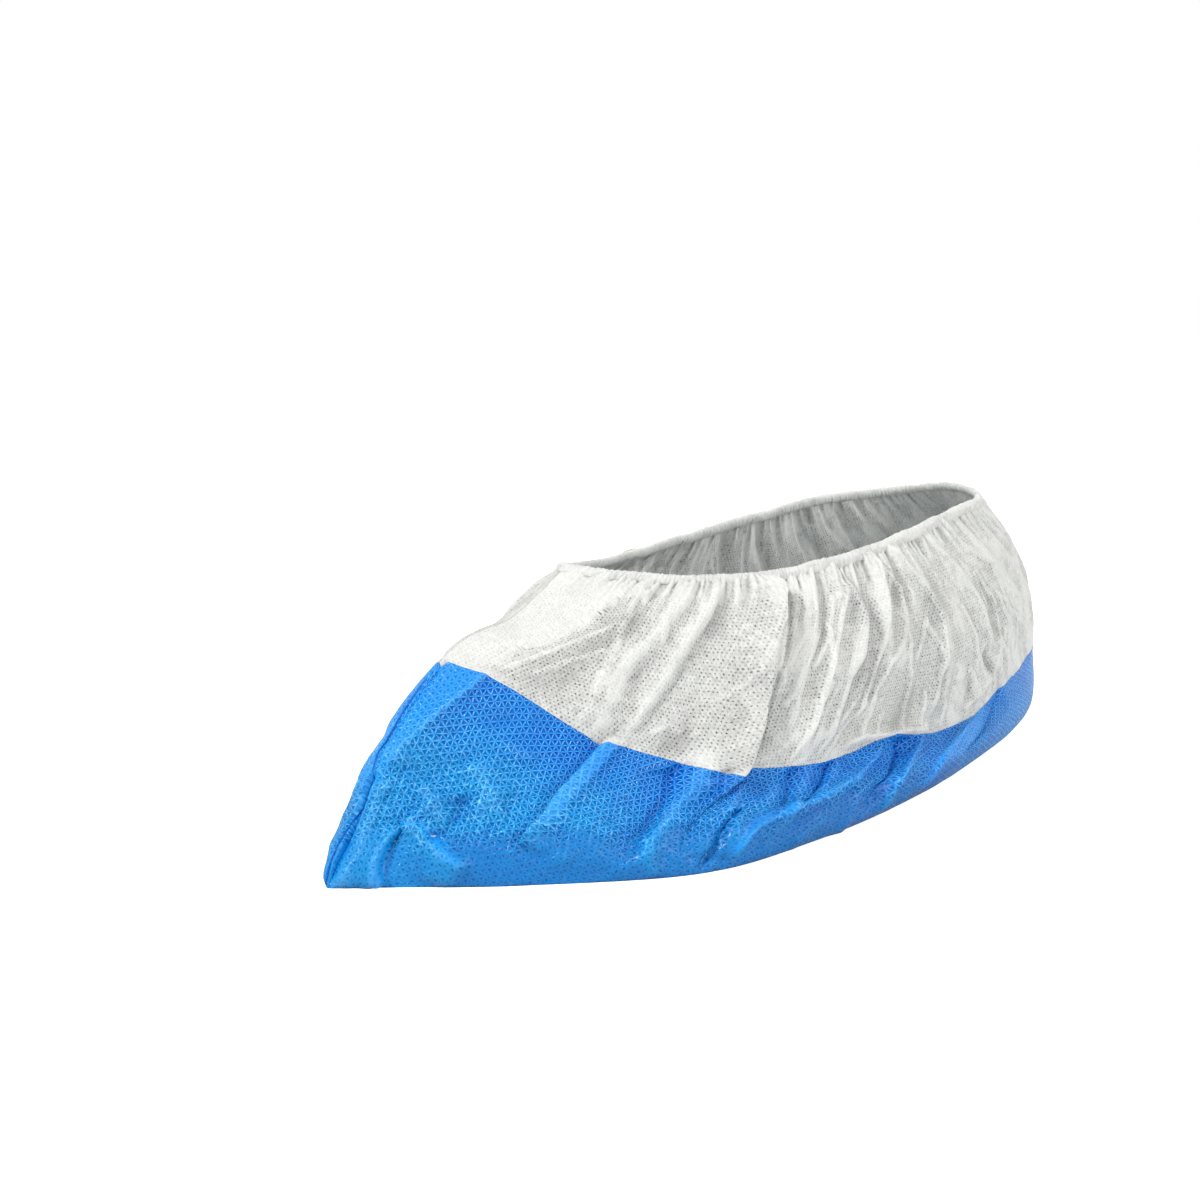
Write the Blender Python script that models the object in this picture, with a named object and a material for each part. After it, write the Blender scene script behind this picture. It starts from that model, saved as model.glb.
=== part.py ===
"""A disposable overshoe, in the form it takes when it is worn on a left boot.

It is one flat pouch of non-woven cloth with a blue film laminated over its lower half.
The pouch is folded along the middle of the sole and welded shut at toe and heel, and an
elastic gathers its mouth.  Worn, its sole lies flat, its toe corner stands out as a point,
and its sides lean in to the hem in slanting folds.

The frame is the foot's: +X is the outer side, -Y the toe, +Y the heel and +Z up.  The origin
is on the inside of the sole, at mid-length, where the foot stands.  Tables are in millimetres.
"""
import math

import bpy
import bmesh
import numpy as np

MM = 0.001

# Driving dimensions, in millimetres.
WALL = 1.2                # thickness given to the thin cloth so that it is a solid wall
GAP = 0.3                 # clearance between pieces that touch
JOINT = 0.8               # the same along the cloth, where two walls meet edge to edge
HEM_TALL = 5.0            # height of the gathered casing round the mouth
HEM_THICK = 2.6           # its thickness, with the elastic inside
WELD_WIDE = 2.5           # how far the welded edges stand out at toe and heel
WELD_ROOT = 0.45          # clearance between a welded edge and the walls behind it
INNER_SIDE = 0.86         # the inner side's half widths, against the outer side's
COLUMNS = 66              # columns of faces along each side, toe to heel
GATHER_DEPTH = 0.5        # how far the small gathers under the hem stand in and out
GATHER_RUN = 16.0         # the gathers fade out this far below the casing
HEM_RIPPLE = 0.35         # the same ripple, on the casing
HEM_SIDES = 8             # flats round the casing's oval section
PUFF = 2.5                # how far the cloth swells out just below the casing
PUFF_LEVEL = 3.55         # level where it swells most
TOE_MITRE = 1.4           # how much deeper the wall is measured in the toe's corner
WELD_TOP = 3.6            # level at which the welded edges start, under the casing
WELD_TIP = 0.12           # level at which they run out above the floor
WELD_STEPS = 8            # points along a cloth weld; a film weld has one more
WELD_TAPER = 0.35         # share of its width that a weld keeps at its lower end
PUFF_TOE = 0.05           # the swelling starts this far along from the toe
PUFF_RUN = 0.25           # and takes this much of the length to reach its full size
FOLD_CREST = 2.5          # sharpness of a fold's crest
LIP_DROP = 5              # how much steeper a pleat's lip drops than its back rises
FOLD_TOP_FADE = 0.15      # share of a fold's run over which it rises from its top
FOLD_FOOT_FADE = 0.25     # and over which it fades out at its foot
SEAM_FADE = 0.02          # folds fade out this far along from the toe and heel welds
UNEVEN = 0.3              # how much the gathers differ in depth
UNEVEN_STEP = 2.4         # how fast that changes from one gather to the next, in radians
TREAD = (0.75, 0.97, 0.0) # the ring under the sole towards which the skin turns in
PROBE = 0.02              # step in position and level for the smooth skin's normals
FOLD_PROBE = 0.03         # and for the folded skin's
TOE_PROBE = 0.2           # position beside the toe where its corner's normal is read
SEAM_STEP = 0.03          # gap in level between the cloth's and the film's welds
SHARP_ANGLE = 50          # degrees; sharper edges than this are shaded sharp

# The five rings that the skin passes through, from the floor up, and where each one's
# centre line starts at the toe and ends at the heel.
RING_COLUMNS = ("ring", "toe_y", "heel_y")
RINGS = (
    ("floor", -170, 157),
    ("bulge", -167, 165),
    ("edge", -128, 165),
    ("shoulder", -98, 161),
    ("hem", -75, 131),
)
BULGE_Z = 13              # height of the widest part of the film, all the way round

# Sections across the cover: the outer side's half width at each ring, and the heights of
# the rings that rise and fall.  "along" runs from 0 at the toe to 1 at the heel.
STATION_COLUMNS = ("along", "floor_x", "bulge_x", "edge_x", "edge_z",
                   "shoulder_x", "shoulder_z", "hem_x", "hem_z")
STATIONS = (
    (0.000, 0, 0, 0, 60, 0, 71, 0, 85),
    (0.050, 14, 14, 17, 52, 17, 70, 14, 83),
    (0.130, 37, 38, 39, 35, 33, 67, 24, 81),
    (0.270, 65, 65, 58, 25, 48, 58, 34, 81),
    (0.420, 67, 71, 61, 23, 53, 50, 40, 84),
    (0.600, 59, 67, 56, 21, 52, 46, 39, 89),
    (0.760, 46, 55, 47, 25, 45, 49, 34, 94),
    (0.900, 31, 39, 35, 32, 33, 55, 26, 96),
    (0.975, 17, 22, 22, 36, 20, 60, 14, 97),
    (1.000, 0, 0, 0, 38, 0, 62, 0, 98),
)

# How far the film's edge dips below its ring: small steps where a fold crosses it, and the
# hanging corner of the big pleat.
DIP_COLUMNS = ("along", "dip")
DIPS = (
    (0.000, 0.0), (0.010, -1.5), (0.045, 0.0), (0.110, 1.5), (0.122, 2.0), (0.127, 0.0),
    (0.180, 1.5), (0.240, 2.0), (0.264, 4.0), (0.270, 0.0), (0.370, 1.5), (0.430, -1.5),
    (0.490, -3.5), (0.540, -1.0), (0.620, 1.0), (0.690, 2.5), (0.760, 0.5), (1.000, 0.0),
)

# Folds that run down the sides.  Levels count the rings: 0 floor, 1 bulge, 2 edge,
# 3 shoulder, 4 hem.  A negative height is a valley.  A lean of 1 makes a pleat whose lip
# drops off towards the heel, and -1 towards the toe.
FOLD_COLUMNS = ("side", "top_level", "top_along", "foot_level", "foot_along",
                "width", "height", "lean")
FOLDS = (
    ("outer", 2.60, 0.040, 1.20, 0.012, 9, 2.5, 0),
    ("outer", 4.00, 0.104, 2.00, 0.120, 10, 4.5, 0),
    ("outer", 2.20, 0.124, 0.90, 0.126, 9, 3.5, 0),
    ("outer", 3.90, 0.132, 2.60, 0.108, 9, -2.5, 0),
    ("outer", 4.00, 0.168, 2.10, 0.124, 9, 3.5, 0),
    ("outer", 4.00, 0.205, 2.00, 0.150, 10, 3.5, 0),
    ("outer", 3.90, 0.235, 2.20, 0.190, 9, -2.5, 0),
    ("outer", 4.00, 0.290, 1.70, 0.266, 22, 6.5, 1),
    ("outer", 2.20, 0.190, 0.40, 0.207, 10, -4.0, 0),
    ("outer", 1.95, 0.266, 0.10, 0.270, 8, -5.0, 0),
    ("outer", 3.90, 0.350, 2.30, 0.318, 10, -3.0, 0),
    ("outer", 4.00, 0.396, 2.30, 0.345, 12, 4.0, 0),
    ("outer", 4.00, 0.425, 2.20, 0.410, 11, -4.0, 0),
    ("outer", 2.60, 0.505, 1.80, 0.500, 26, 4.0, 0),
    ("outer", 2.20, 0.465, 0.50, 0.483, 11, -4.0, 0),
    ("outer", 4.00, 0.470, 2.60, 0.505, 12, -3.0, 0),
    ("outer", 4.00, 0.550, 2.30, 0.585, 12, 4.0, 0),
    ("outer", 1.90, 0.610, 0.30, 0.600, 14, -3.0, 0),
    ("outer", 4.00, 0.610, 2.80, 0.670, 12, -3.0, 0),
    ("outer", 4.00, 0.664, 2.60, 0.760, 13, 3.5, 0),
    ("outer", 4.00, 0.760, 2.70, 0.860, 13, 2.5, 0),
    ("inner", 4.00, 0.130, 2.20, 0.110, 11, 2.5, 0),
    ("inner", 4.00, 0.200, 1.20, 0.160, 12, 4.5, 0),
    ("inner", 3.90, 0.250, 2.00, 0.220, 12, -4.0, 0),
    ("inner", 4.00, 0.320, 1.60, 0.300, 20, 6.0, -1),
    ("inner", 2.20, 0.330, 0.30, 0.320, 12, -4.0, 0),
    ("inner", 4.00, 0.420, 2.30, 0.400, 12, 4.0, 0),
    ("inner", 2.10, 0.480, 0.40, 0.500, 12, -4.0, 0),
    ("inner", 4.00, 0.520, 2.40, 0.540, 13, -3.5, 0),
    ("inner", 4.00, 0.600, 2.20, 0.640, 13, 4.5, 0),
    ("inner", 4.00, 0.720, 2.60, 0.800, 13, 3.0, 0),
)

# Rows of faces up the film and up the side panels, as shares of each one's height.
FILM_ROWS = (0.0, 0.07, 0.22, 0.48, 0.74, 1.0)
PANEL_ROWS = (0.0, 0.18, 0.37, 0.56, 0.73, 0.88, 1.0)
EDGE_LEVEL = 2.0          # the film's edge, before its dips
SHOULDER_LEVEL = 3.0      # the ring along which the columns are evenly spaced
HEM_LEVEL = 4.0           # the top of the casing
FINE_STEPS = 900          # steps for measuring along a ring
CLIMB_STEPS = 121         # and up the cloth

# Materials: colour, roughness, metallic.
FINISHES = {
    "blue_film": ((0.02, 0.21, 0.72, 1.0), 0.38, 0.0),
    "white_nonwoven": ((0.82, 0.85, 0.83, 1.0), 0.90, 0.0),
    "elastic_casing": ((0.86, 0.88, 0.86, 1.0), 0.85, 0.0),
}

HEEL = len(STATIONS) - 1  # loop position of the heel; the toe is 0 and, back round, 2 * HEEL


def column(table, names, name):
    """One named column of a table, as numbers."""
    place = names.index(name)
    return np.array([row[place] for row in table], float)


def through(knots, places):
    """A smooth curve through the knots (Catmull-Rom), read at fractional knot numbers."""
    knots = np.asarray(knots, float)
    last = len(knots) - 1
    padded = np.concatenate([2 * knots[:1] - knots[1:2], knots, 2 * knots[-1:] - knots[-2:-1]])
    places = np.clip(np.asarray(places, float), 0, last - 1e-9)
    start = places.astype(int)
    t = (places - start).reshape(-1, *[1] * (knots.ndim - 1))
    a, b, c, d = (padded[start + i] for i in range(4))
    return 0.5 * (2 * b + (c - a) * t + (2 * a - 5 * b + 4 * c - d) * t ** 2
                  + (3 * b - a - 3 * c + d) * t ** 3)


def ring_knots(ring, toe_y, heel_y):
    """A ring's knots: down the outer side from toe to heel, and back up the inner side."""
    along = column(STATIONS, STATION_COLUMNS, "along")
    half = column(STATIONS, STATION_COLUMNS, ring + "_x")
    if ring == "floor":
        height = np.zeros_like(along)
    elif ring == "bulge":
        height = np.full_like(along, BULGE_Z)
    else:
        height = column(STATIONS, STATION_COLUMNS, ring + "_z")
    outer = np.stack([half, toe_y + (heel_y - toe_y) * along, height], axis=1)
    inner = outer * (-INNER_SIDE, 1, 1)
    return np.concatenate([outer, inner[-2::-1]])


def smooth_skin(loop, level):
    """The skin without its folds, at loop positions and levels of any one shape."""
    loop, level = np.broadcast_arrays(np.asarray(loop, float), np.asarray(level, float))
    rings = [through(ring_knots(*row), loop.ravel()) for row in RINGS]
    tread = rings[0] * TREAD
    crown = 2 * rings[-1] - rings[-2]
    stack = np.stack([tread, *rings, crown])
    places = np.clip(level.ravel() + 1, 1, len(RINGS))
    start = np.minimum(places.astype(int), len(RINGS) - 1)
    t = (places - start)[:, None]
    pick = np.arange(len(start))
    a, b, c, d = (stack[start + i - 1, pick] for i in range(4))
    points = 0.5 * (2 * b + (c - a) * t + (2 * a - 5 * b + 4 * c - d) * t ** 2
                    + (3 * b - a - 3 * c + d) * t ** 3)
    points[:, 2] = np.maximum(points[:, 2], 0.0)
    return points.reshape(*loop.shape, 3)


def outward(loop, level):
    """Unit normals of the smooth skin, pointing away from the foot."""
    across = smooth_skin(loop + PROBE, level) - smooth_skin(loop - PROBE, level)
    upward = smooth_skin(loop, level + PROBE) - smooth_skin(loop, level - PROBE)
    normal = np.cross(across, upward)
    return normal / np.maximum(np.linalg.norm(normal, axis=-1, keepdims=True), 1e-9)


def along_of(loop):
    """The table's "along" at a loop position, on either side."""
    folded = HEEL - np.abs(np.asarray(loop, float) - HEEL)
    return np.interp(folded, np.arange(HEEL + 1), column(STATIONS, STATION_COLUMNS, "along"))


def ease(x):
    """0 below 0, 1 above 1, and smooth between."""
    x = np.clip(x, 0.0, 1.0)
    return x * x * (3 - 2 * x)


def fold_height(loop, level):
    """How far the folds push the skin out, in millimetres."""
    along = along_of(loop)
    is_outer = np.asarray(loop) <= HEEL
    length = RINGS[0][2] - RINGS[0][1]
    total = np.zeros(np.broadcast(along, level).shape)
    for row in FOLDS:
        fold = dict(zip(FOLD_COLUMNS, row))
        run = (fold["top_level"] - level) / (fold["top_level"] - fold["foot_level"])
        centre = fold["top_along"] + (fold["foot_along"] - fold["top_along"]) * np.clip(run, 0, 1)
        offset = (along - centre) * length / fold["width"]
        if fold["lean"]:
            offset = offset * fold["lean"]
            shape = np.where(offset < 0, ease(1 + offset), ease(1 - LIP_DROP * offset))
        else:
            shape = np.exp(-FOLD_CREST * offset ** 2)
        fade = ease(run / FOLD_TOP_FADE) * ease((1 - run) / FOLD_FOOT_FADE)
        side = is_outer == (fold["side"] == "outer")
        total = total + fold["height"] * shape * fade * side
    return total * ease(np.minimum(along, 1 - along) / SEAM_FADE)


def puff(along, level):
    """How far the cloth swells out below the casing, in millimetres; nothing at the toe."""
    rise = ease(level - PUFF_LEVEL + 1) * ease((HEM_LEVEL - level) / (HEM_LEVEL - PUFF_LEVEL))
    return PUFF * rise * ease((along - PUFF_TOE) / PUFF_RUN)


def skin(loop, level):
    """The skin with its folds."""
    push = fold_height(loop, level) + puff(along_of(loop), level)
    return smooth_skin(loop, level) + outward(loop, level) * push[..., None]


def skin_normal(loop, level):
    """Unit normals of the folded skin."""
    across = skin(loop + FOLD_PROBE, level) - skin(loop - FOLD_PROBE, level)
    upward = skin(loop, level + FOLD_PROBE) - skin(loop, level - FOLD_PROBE)
    normal = np.cross(across, upward)
    return normal / np.maximum(np.linalg.norm(normal, axis=-1, keepdims=True), 1e-9)


def column_places():
    """Loop positions of the columns: evenly spaced round the shoulder, toe to toe."""
    fine = np.linspace(0, HEEL, FINE_STEPS)
    ring = smooth_skin(fine, np.full_like(fine, SHOULDER_LEVEL))
    walked = np.concatenate([[0], np.cumsum(np.linalg.norm(np.diff(ring, axis=0), axis=1))])
    outer = np.interp(np.linspace(0, walked[-1], COLUMNS + 1), walked, fine)
    return np.concatenate([outer, 2 * HEEL - outer[-2::-1]])


def climb(places):
    """Levels up each column, and the distance along the cloth that each one has climbed."""
    levels = np.linspace(0, HEM_LEVEL, CLIMB_STEPS)
    loop, level = np.meshgrid(places, levels)
    steps = np.linalg.norm(np.diff(skin(loop, level), axis=0), axis=-1)
    return levels, np.concatenate([np.zeros((1, len(places))), np.cumsum(steps, axis=0)])


def level_at(levels, climbed, distance):
    """The level at which each column has climbed its distance."""
    return np.array([np.interp(distance[c], climbed[:, c], levels) for c in range(len(distance))])


def film_dip(places):
    """How far the film's edge hangs below its ring at each column."""
    dip = np.interp(along_of(places), column(DIPS, DIP_COLUMNS, "along"),
                    column(DIPS, DIP_COLUMNS, "dip"))
    return dip * np.where(places <= HEEL, 1.0, 0.5)


def ripple(number):
    """Every other column stands in, to an uneven depth of up to 1."""
    return (-1.0) ** number * (1 - UNEVEN + UNEVEN * np.sin(UNEVEN_STEP * number))


def gathers(number, below_hem):
    """How far the small gathers push each column in or out, fading away below the hem."""
    return GATHER_DEPTH * ripple(number) * ease(1 - below_hem / GATHER_RUN)


def wall(places, low, high, rows, gathered):
    """Outer and inner points of a wall between two levels that vary from column to column."""
    share = np.asarray(rows)[:, None]
    level = low + (high - low) * share
    loop = np.broadcast_to(places, level.shape)
    outer, normal = skin(loop, level), skin_normal(loop, level)
    if gathered:
        tall = np.linalg.norm(outer[-1] - outer[0], axis=-1)
        push = gathers(np.arange(len(places)), tall * (1 - share))
        outer = outer + normal * push[..., None]
    return outer, outer - normal * WALL


def material(name):
    """A material with the finish's colour, roughness and metallic value."""
    colour, roughness, metallic = FINISHES[name]
    made = bpy.data.materials.new(name)
    made.use_nodes = True
    shader = made.node_tree.nodes["Principled BSDF"]
    shader.inputs["Base Color"].default_value = colour
    shader.inputs["Roughness"].default_value = roughness
    shader.inputs["Metallic"].default_value = metallic
    made.diffuse_color = colour
    return made


def solid(name, points, faces, finish):
    """A named object from points in millimetres above the floor and faces."""
    mesh = bpy.data.meshes.new(name)
    lifted = np.asarray(points) - (0, 0, WALL)
    mesh.from_pydata([tuple(p * MM) for p in lifted], [], faces)
    work = bmesh.new()
    work.from_mesh(mesh)
    bmesh.ops.recalc_face_normals(work, faces=work.faces)
    work.to_mesh(mesh)
    work.free()
    mesh.shade_smooth()
    mesh.set_sharp_from_angle(angle=math.radians(SHARP_ANGLE))
    made = bpy.data.objects.new(name, mesh)
    made.data.materials.append(material(finish))
    bpy.context.scene.collection.objects.link(made)
    return made


def grid_faces(rows, columns, first, flip):
    """Quads of a grid of points whose numbers start at first."""
    faces = []
    for r in range(rows - 1):
        for c in range(columns - 1):
            a = first + r * columns + c
            quad = (a, a + 1, a + 1 + columns, a + columns)
            faces.append(quad[::-1] if flip else quad)
    return faces


def side_panel(name, outer, inner):
    """A white panel: its two faces, closed by a rim and cut on the centre plane."""
    height, width = outer.shape[:2]
    sign = 1 if outer[:, width // 2, 0].mean() > 0 else -1
    for sheet in (outer, inner):
        sheet[..., 0] = sign * np.maximum(sheet[..., 0] * sign, GAP / 2)
    count = height * width
    faces = grid_faces(height, width, 0, False) + grid_faces(height, width, count, True)
    border = list(range(width))
    border += [r * width + width - 1 for r in range(1, height)]
    border += [(height - 1) * width + c for c in range(width - 2, -1, -1)]
    border += [r * width for r in range(height - 2, 0, -1)]
    for here, after in zip(border, border[1:] + border[:1]):
        faces.append((after, here, here + count, after + count))
    points = np.concatenate([outer.reshape(-1, 3), inner.reshape(-1, 3)])
    return solid(name, points, faces, "white_nonwoven")


def ladder(width, first, flip):
    """Faces of a flat sole, as rungs from the outer side's columns to the inner side's."""
    faces = []
    for k in range(COLUMNS):
        rung = [k, (width - k) % width, (width - k - 1) % width, k + 1]
        rung = [first + number for number in dict.fromkeys(rung)]
        faces.append(rung[::-1] if flip else rung)
    return faces


def toe_normal():
    """The way out from the toe's corner, in the centre plane, at each row of the film."""
    level = np.array(FILM_ROWS) * EDGE_LEVEL
    normal = skin_normal(np.full_like(level, TOE_PROBE), level) * (0, 1, 1)
    return normal / np.linalg.norm(normal, axis=-1, keepdims=True)


def sole_shell(outer, inner):
    """The blue film: walls all round, and a flat sole inside and out."""
    outer, inner = outer[:, :-1], inner[:, :-1]      # the last column is the first, at the toe
    height, width = outer.shape[:2]
    outer[0, :, 2] = 0.0
    inner[..., 2] = np.maximum(inner[..., 2], WALL)
    inner[:, 0] = outer[:, 0] - toe_normal() * TOE_MITRE * WALL
    inner[0, :, 2] = WALL
    count = height * width
    faces = ladder(width, 0, False) + ladder(width, count, True)
    for first, flip in ((0, False), (count, True)):
        for r in range(height - 1):
            for c in range(width):
                a, b = first + r * width + c, first + r * width + (c + 1) % width
                quad = (a, b, b + width, a + width)
                faces.append(quad[::-1] if flip else quad)
    rim = (height - 1) * width
    for c in range(width):
        a, b = rim + c, rim + (c + 1) % width
        faces.append((a, b, b + count, a + count))
    points = np.concatenate([outer.reshape(-1, 3), inner.reshape(-1, 3)])
    return solid("sole_shell", points, faces, "blue_film")


def elastic_hem(top, bottom):
    """The gathered casing: a flattened tube round the mouth, rippled by the elastic."""
    top, bottom = top[:-1], bottom[:-1]
    width = len(top)
    down = bottom - top
    down /= np.linalg.norm(down, axis=1, keepdims=True)
    run = np.roll(top, -1, axis=0) - np.roll(top, 1, axis=0)
    out = np.cross(down, run)
    out /= np.linalg.norm(out, axis=1, keepdims=True)
    push = HEM_RIPPLE * ripple(np.arange(width)) - WALL / 2
    centre = (top + bottom) / 2 + out * push[:, None]
    points = []
    for k in range(HEM_SIDES):
        angle = 2 * math.pi * (k + 0.5) / HEM_SIDES
        points.append(centre + out * (HEM_THICK / 2 * math.cos(angle))
                      + down * ((HEM_TALL - GAP) / 2 * math.sin(angle)))
    faces = []
    for k in range(HEM_SIDES):
        for c in range(width):
            a, b = k * width + c, k * width + (c + 1) % width
            above = ((k + 1) % HEM_SIDES) * width
            faces.append((a, b, above + (c + 1) % width, above + c))
    return solid("elastic_hem", np.concatenate(points), faces, "elastic_casing")


def weld(name, line, finish, taper):
    """A welded edge: a thin strip that stands out from the centre line of the toe or heel."""
    forward = -1.0 if line[0, 1] < 0 else 1.0
    run = np.gradient(line, axis=0)
    run /= np.linalg.norm(run, axis=1, keepdims=True)
    out = np.cross(run, (1.0, 0.0, 0.0))
    out *= np.sign(out[:, 1:2]) * forward
    reach = WELD_WIDE * np.linspace(1, taper, len(line))[:, None]
    half = np.array((WALL / 2, 0, 0))
    root, lip = line + out * WELD_ROOT, line + out * (WELD_ROOT + reach)
    corners = [root - half, root + half, lip + half, lip - half]
    for corner in corners:
        corner[:, 2] = np.maximum(corner[:, 2], GAP)
    count = len(line)
    faces = []
    for k in range(4):
        a, b = k * count, ((k + 1) % 4) * count
        faces += [(a + i, b + i, b + i + 1, a + i + 1) for i in range(count - 1)]
    faces.append([k * count for k in range(4)])
    faces.append([k * count + count - 1 for k in reversed(range(4))])
    return solid(name, np.concatenate(corners), faces, finish)


def centre_line(loop, levels):
    """The line up the toe or the heel, where the two sides are welded together."""
    return skin(np.full(len(levels), float(loop)), np.asarray(levels, float))


def build():
    """Clears the scene and models every piece."""
    for old in list(bpy.data.objects):
        bpy.data.objects.remove(old)
    places = column_places()
    levels, climbed = climb(places)
    edge = level_at(levels, climbed, climbed[levels == EDGE_LEVEL][0] - film_dip(places))
    edge_climb = np.array([np.interp(edge[c], levels, climbed[:, c]) for c in range(len(edge))])
    film_top = level_at(levels, climbed, edge_climb - JOINT / 2)
    panel_foot = level_at(levels, climbed, edge_climb + JOINT / 2)
    panel_top = level_at(levels, climbed, climbed[-1] - HEM_TALL - JOINT)

    sole_shell(*wall(places, 0.0 * film_top, film_top, FILM_ROWS, False))
    outer, inner = wall(places, panel_foot, panel_top, PANEL_ROWS, True)
    side_panel("side_panel_outer", outer[:, :COLUMNS + 1], inner[:, :COLUMNS + 1])
    side_panel("side_panel_inner", outer[:, COLUMNS:].copy(), inner[:, COLUMNS:].copy())
    hem_foot = level_at(levels, climbed, climbed[-1] - HEM_TALL)
    elastic_hem(skin(places, np.full_like(places, HEM_LEVEL)), skin(places, hem_foot))

    for end, loop in (("toe", 0), ("heel", HEEL)):
        cloth = centre_line(loop, np.linspace(WELD_TOP, EDGE_LEVEL + SEAM_STEP, WELD_STEPS))
        film = centre_line(loop, np.linspace(EDGE_LEVEL - SEAM_STEP, WELD_TIP, WELD_STEPS + 1))
        weld(end + "_weld_cloth", cloth, "white_nonwoven", 1.0)
        weld(end + "_weld_film", film, "blue_film", WELD_TAPER)


build()
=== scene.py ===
# %% [markdown]
# # A disposable overshoe, worn
#
# The real object is a flat pouch of thin non-woven cloth.  A blue film is laminated over its
# lower half, the two ends are welded, and an elastic in the hem gathers its mouth.  Pulled over
# a boot, the pouch opens into a hull: the film becomes a sole and low walls, the toe stands out
# as a point, and the spare cloth falls into slanting folds.
#
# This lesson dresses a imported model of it.  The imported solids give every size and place; here
# we make the thin cloth itself, with its folds, creases, embossing and bond points.

import functools
import math

import bpy
import numpy as np
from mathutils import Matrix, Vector


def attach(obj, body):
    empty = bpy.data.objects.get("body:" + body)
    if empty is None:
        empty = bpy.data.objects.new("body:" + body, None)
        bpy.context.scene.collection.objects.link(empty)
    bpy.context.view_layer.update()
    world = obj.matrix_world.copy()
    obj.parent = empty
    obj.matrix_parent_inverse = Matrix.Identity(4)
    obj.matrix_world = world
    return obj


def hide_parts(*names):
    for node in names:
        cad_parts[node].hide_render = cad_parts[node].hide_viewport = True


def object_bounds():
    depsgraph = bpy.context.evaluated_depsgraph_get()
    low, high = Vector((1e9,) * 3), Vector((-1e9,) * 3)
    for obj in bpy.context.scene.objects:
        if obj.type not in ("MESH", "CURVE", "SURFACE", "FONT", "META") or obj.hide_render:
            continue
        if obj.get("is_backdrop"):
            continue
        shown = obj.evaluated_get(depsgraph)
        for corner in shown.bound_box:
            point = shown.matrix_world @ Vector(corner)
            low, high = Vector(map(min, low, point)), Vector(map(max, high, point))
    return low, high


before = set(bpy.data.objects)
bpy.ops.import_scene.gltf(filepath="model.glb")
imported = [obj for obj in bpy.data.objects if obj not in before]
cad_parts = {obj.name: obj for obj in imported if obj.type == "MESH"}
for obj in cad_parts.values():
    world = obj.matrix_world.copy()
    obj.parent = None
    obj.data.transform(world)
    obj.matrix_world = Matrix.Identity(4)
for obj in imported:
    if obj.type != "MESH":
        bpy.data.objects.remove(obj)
cad_low, cad_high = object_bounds()
MM = 0.001
print("packed nodes:", sorted(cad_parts))
print("packed size in mm:", [round((b - a) / MM, 1) for a, b in zip(cad_low, cad_high)])

# %% [markdown]
# ## The camera
#
# A product like this is shot from low down with a medium lens, three quarters from the toe.
# We could aim the camera with a Track To constraint, but a direction worked out from a heading
# and a tilt says more clearly where we stand, and it can be reused for other views.

# %% Camera
LENS = 51.0               # millimetres, on a 36 mm sensor
HEADING = math.radians(46.3)
TILT = math.radians(8.83)
EYE = (0.392, -0.436, 0.1548)


def add_camera():
    """A camera that looks along the heading, tilted down."""
    flat = math.cos(TILT)
    forward = Vector((-math.sin(HEADING) * flat, math.cos(HEADING) * flat, -math.sin(TILT)))
    data = bpy.data.cameras.new("camera")
    data.lens = LENS
    data.clip_start = 0.01
    made = bpy.data.objects.new("camera", data)
    made.location = EYE
    made.rotation_euler = forward.to_track_quat("-Z", "Y").to_euler()
    bpy.context.scene.collection.objects.link(made)
    bpy.context.scene.camera = made
    return made


camera = add_camera()
print("the camera stands", round(camera.location.length, 3), "m from the origin")

# %% [markdown]
# ## Nodes in one line
#
# Every finish below is built from shader nodes.  Adding them one by one takes five lines each,
# so we first write a helper: it adds a node, sets its properties, and fills its sockets with
# values or links.  Shorter helpers on top of it multiply, remap and blend, and the last one
# starts a material whose surface is one Principled shader.

# %% Helpers for shader nodes
def fill_sockets(tree, node, sockets):
    """Fills sockets, by name or number, with plain values or links."""
    for key, value in sockets.items():
        if isinstance(value, bpy.types.Node):
            value = value.outputs[0]
        if isinstance(value, bpy.types.NodeSocket):
            tree.links.new(value, node.inputs[key])
        else:
            node.inputs[key].default_value = value


def add_node(tree, kind, sockets=None, **settings):
    """A node with its settings and sockets filled."""
    node = tree.nodes.new(kind)
    for name, value in settings.items():
        setattr(node, name, value)
    fill_sockets(tree, node, sockets or {})
    return node


def math_node(tree, operation, *values):
    return add_node(tree, "ShaderNodeMath", dict(enumerate(values)), operation=operation)


def chained(tree, operation, *values):
    """One operation taken down a list: its product, its least or its greatest value."""
    return functools.reduce(lambda a, b: math_node(tree, operation, a, b), values)


def times(tree, *factors):
    return chained(tree, "MULTIPLY", *factors)


def vector_node(tree, operation, *values):
    return add_node(tree, "ShaderNodeVectorMath", dict(enumerate(values)), operation=operation)


def remap(tree, value, low, high, new_low=0.0, new_high=1.0):
    """Maps low..high smoothly onto new_low..new_high, without going past them."""
    sockets = {"Value": value, "From Min": low, "From Max": high,
               "To Min": new_low, "To Max": new_high}
    return add_node(tree, "ShaderNodeMapRange", sockets, interpolation_type="SMOOTHSTEP",
                    clamp=True)


def between(tree, share, at_none, at_full):
    """Goes from the first value to the second as a share goes from 0 to 1."""
    return remap(tree, share, 0.0, 1.0, at_none, at_full)


def blend_colours(tree, share, first, second, how="MIX"):
    node = add_node(tree, "ShaderNodeMix", {0: share, 6: first, 7: second},
                    data_type="RGBA", blend_type=how, clamp_factor=True)
    return node.outputs[2]


def noise_node(tree, place, scale, detail=2.0, roughness=0.5):
    sockets = {"Vector": place, "Scale": scale, "Detail": detail, "Roughness": roughness}
    return add_node(tree, "ShaderNodeTexNoise", sockets)


def measure_node(tree, name):
    """Reads a measure that is stored on the points of the mesh."""
    return add_node(tree, "ShaderNodeAttribute", attribute_name=name).outputs["Fac"]


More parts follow.
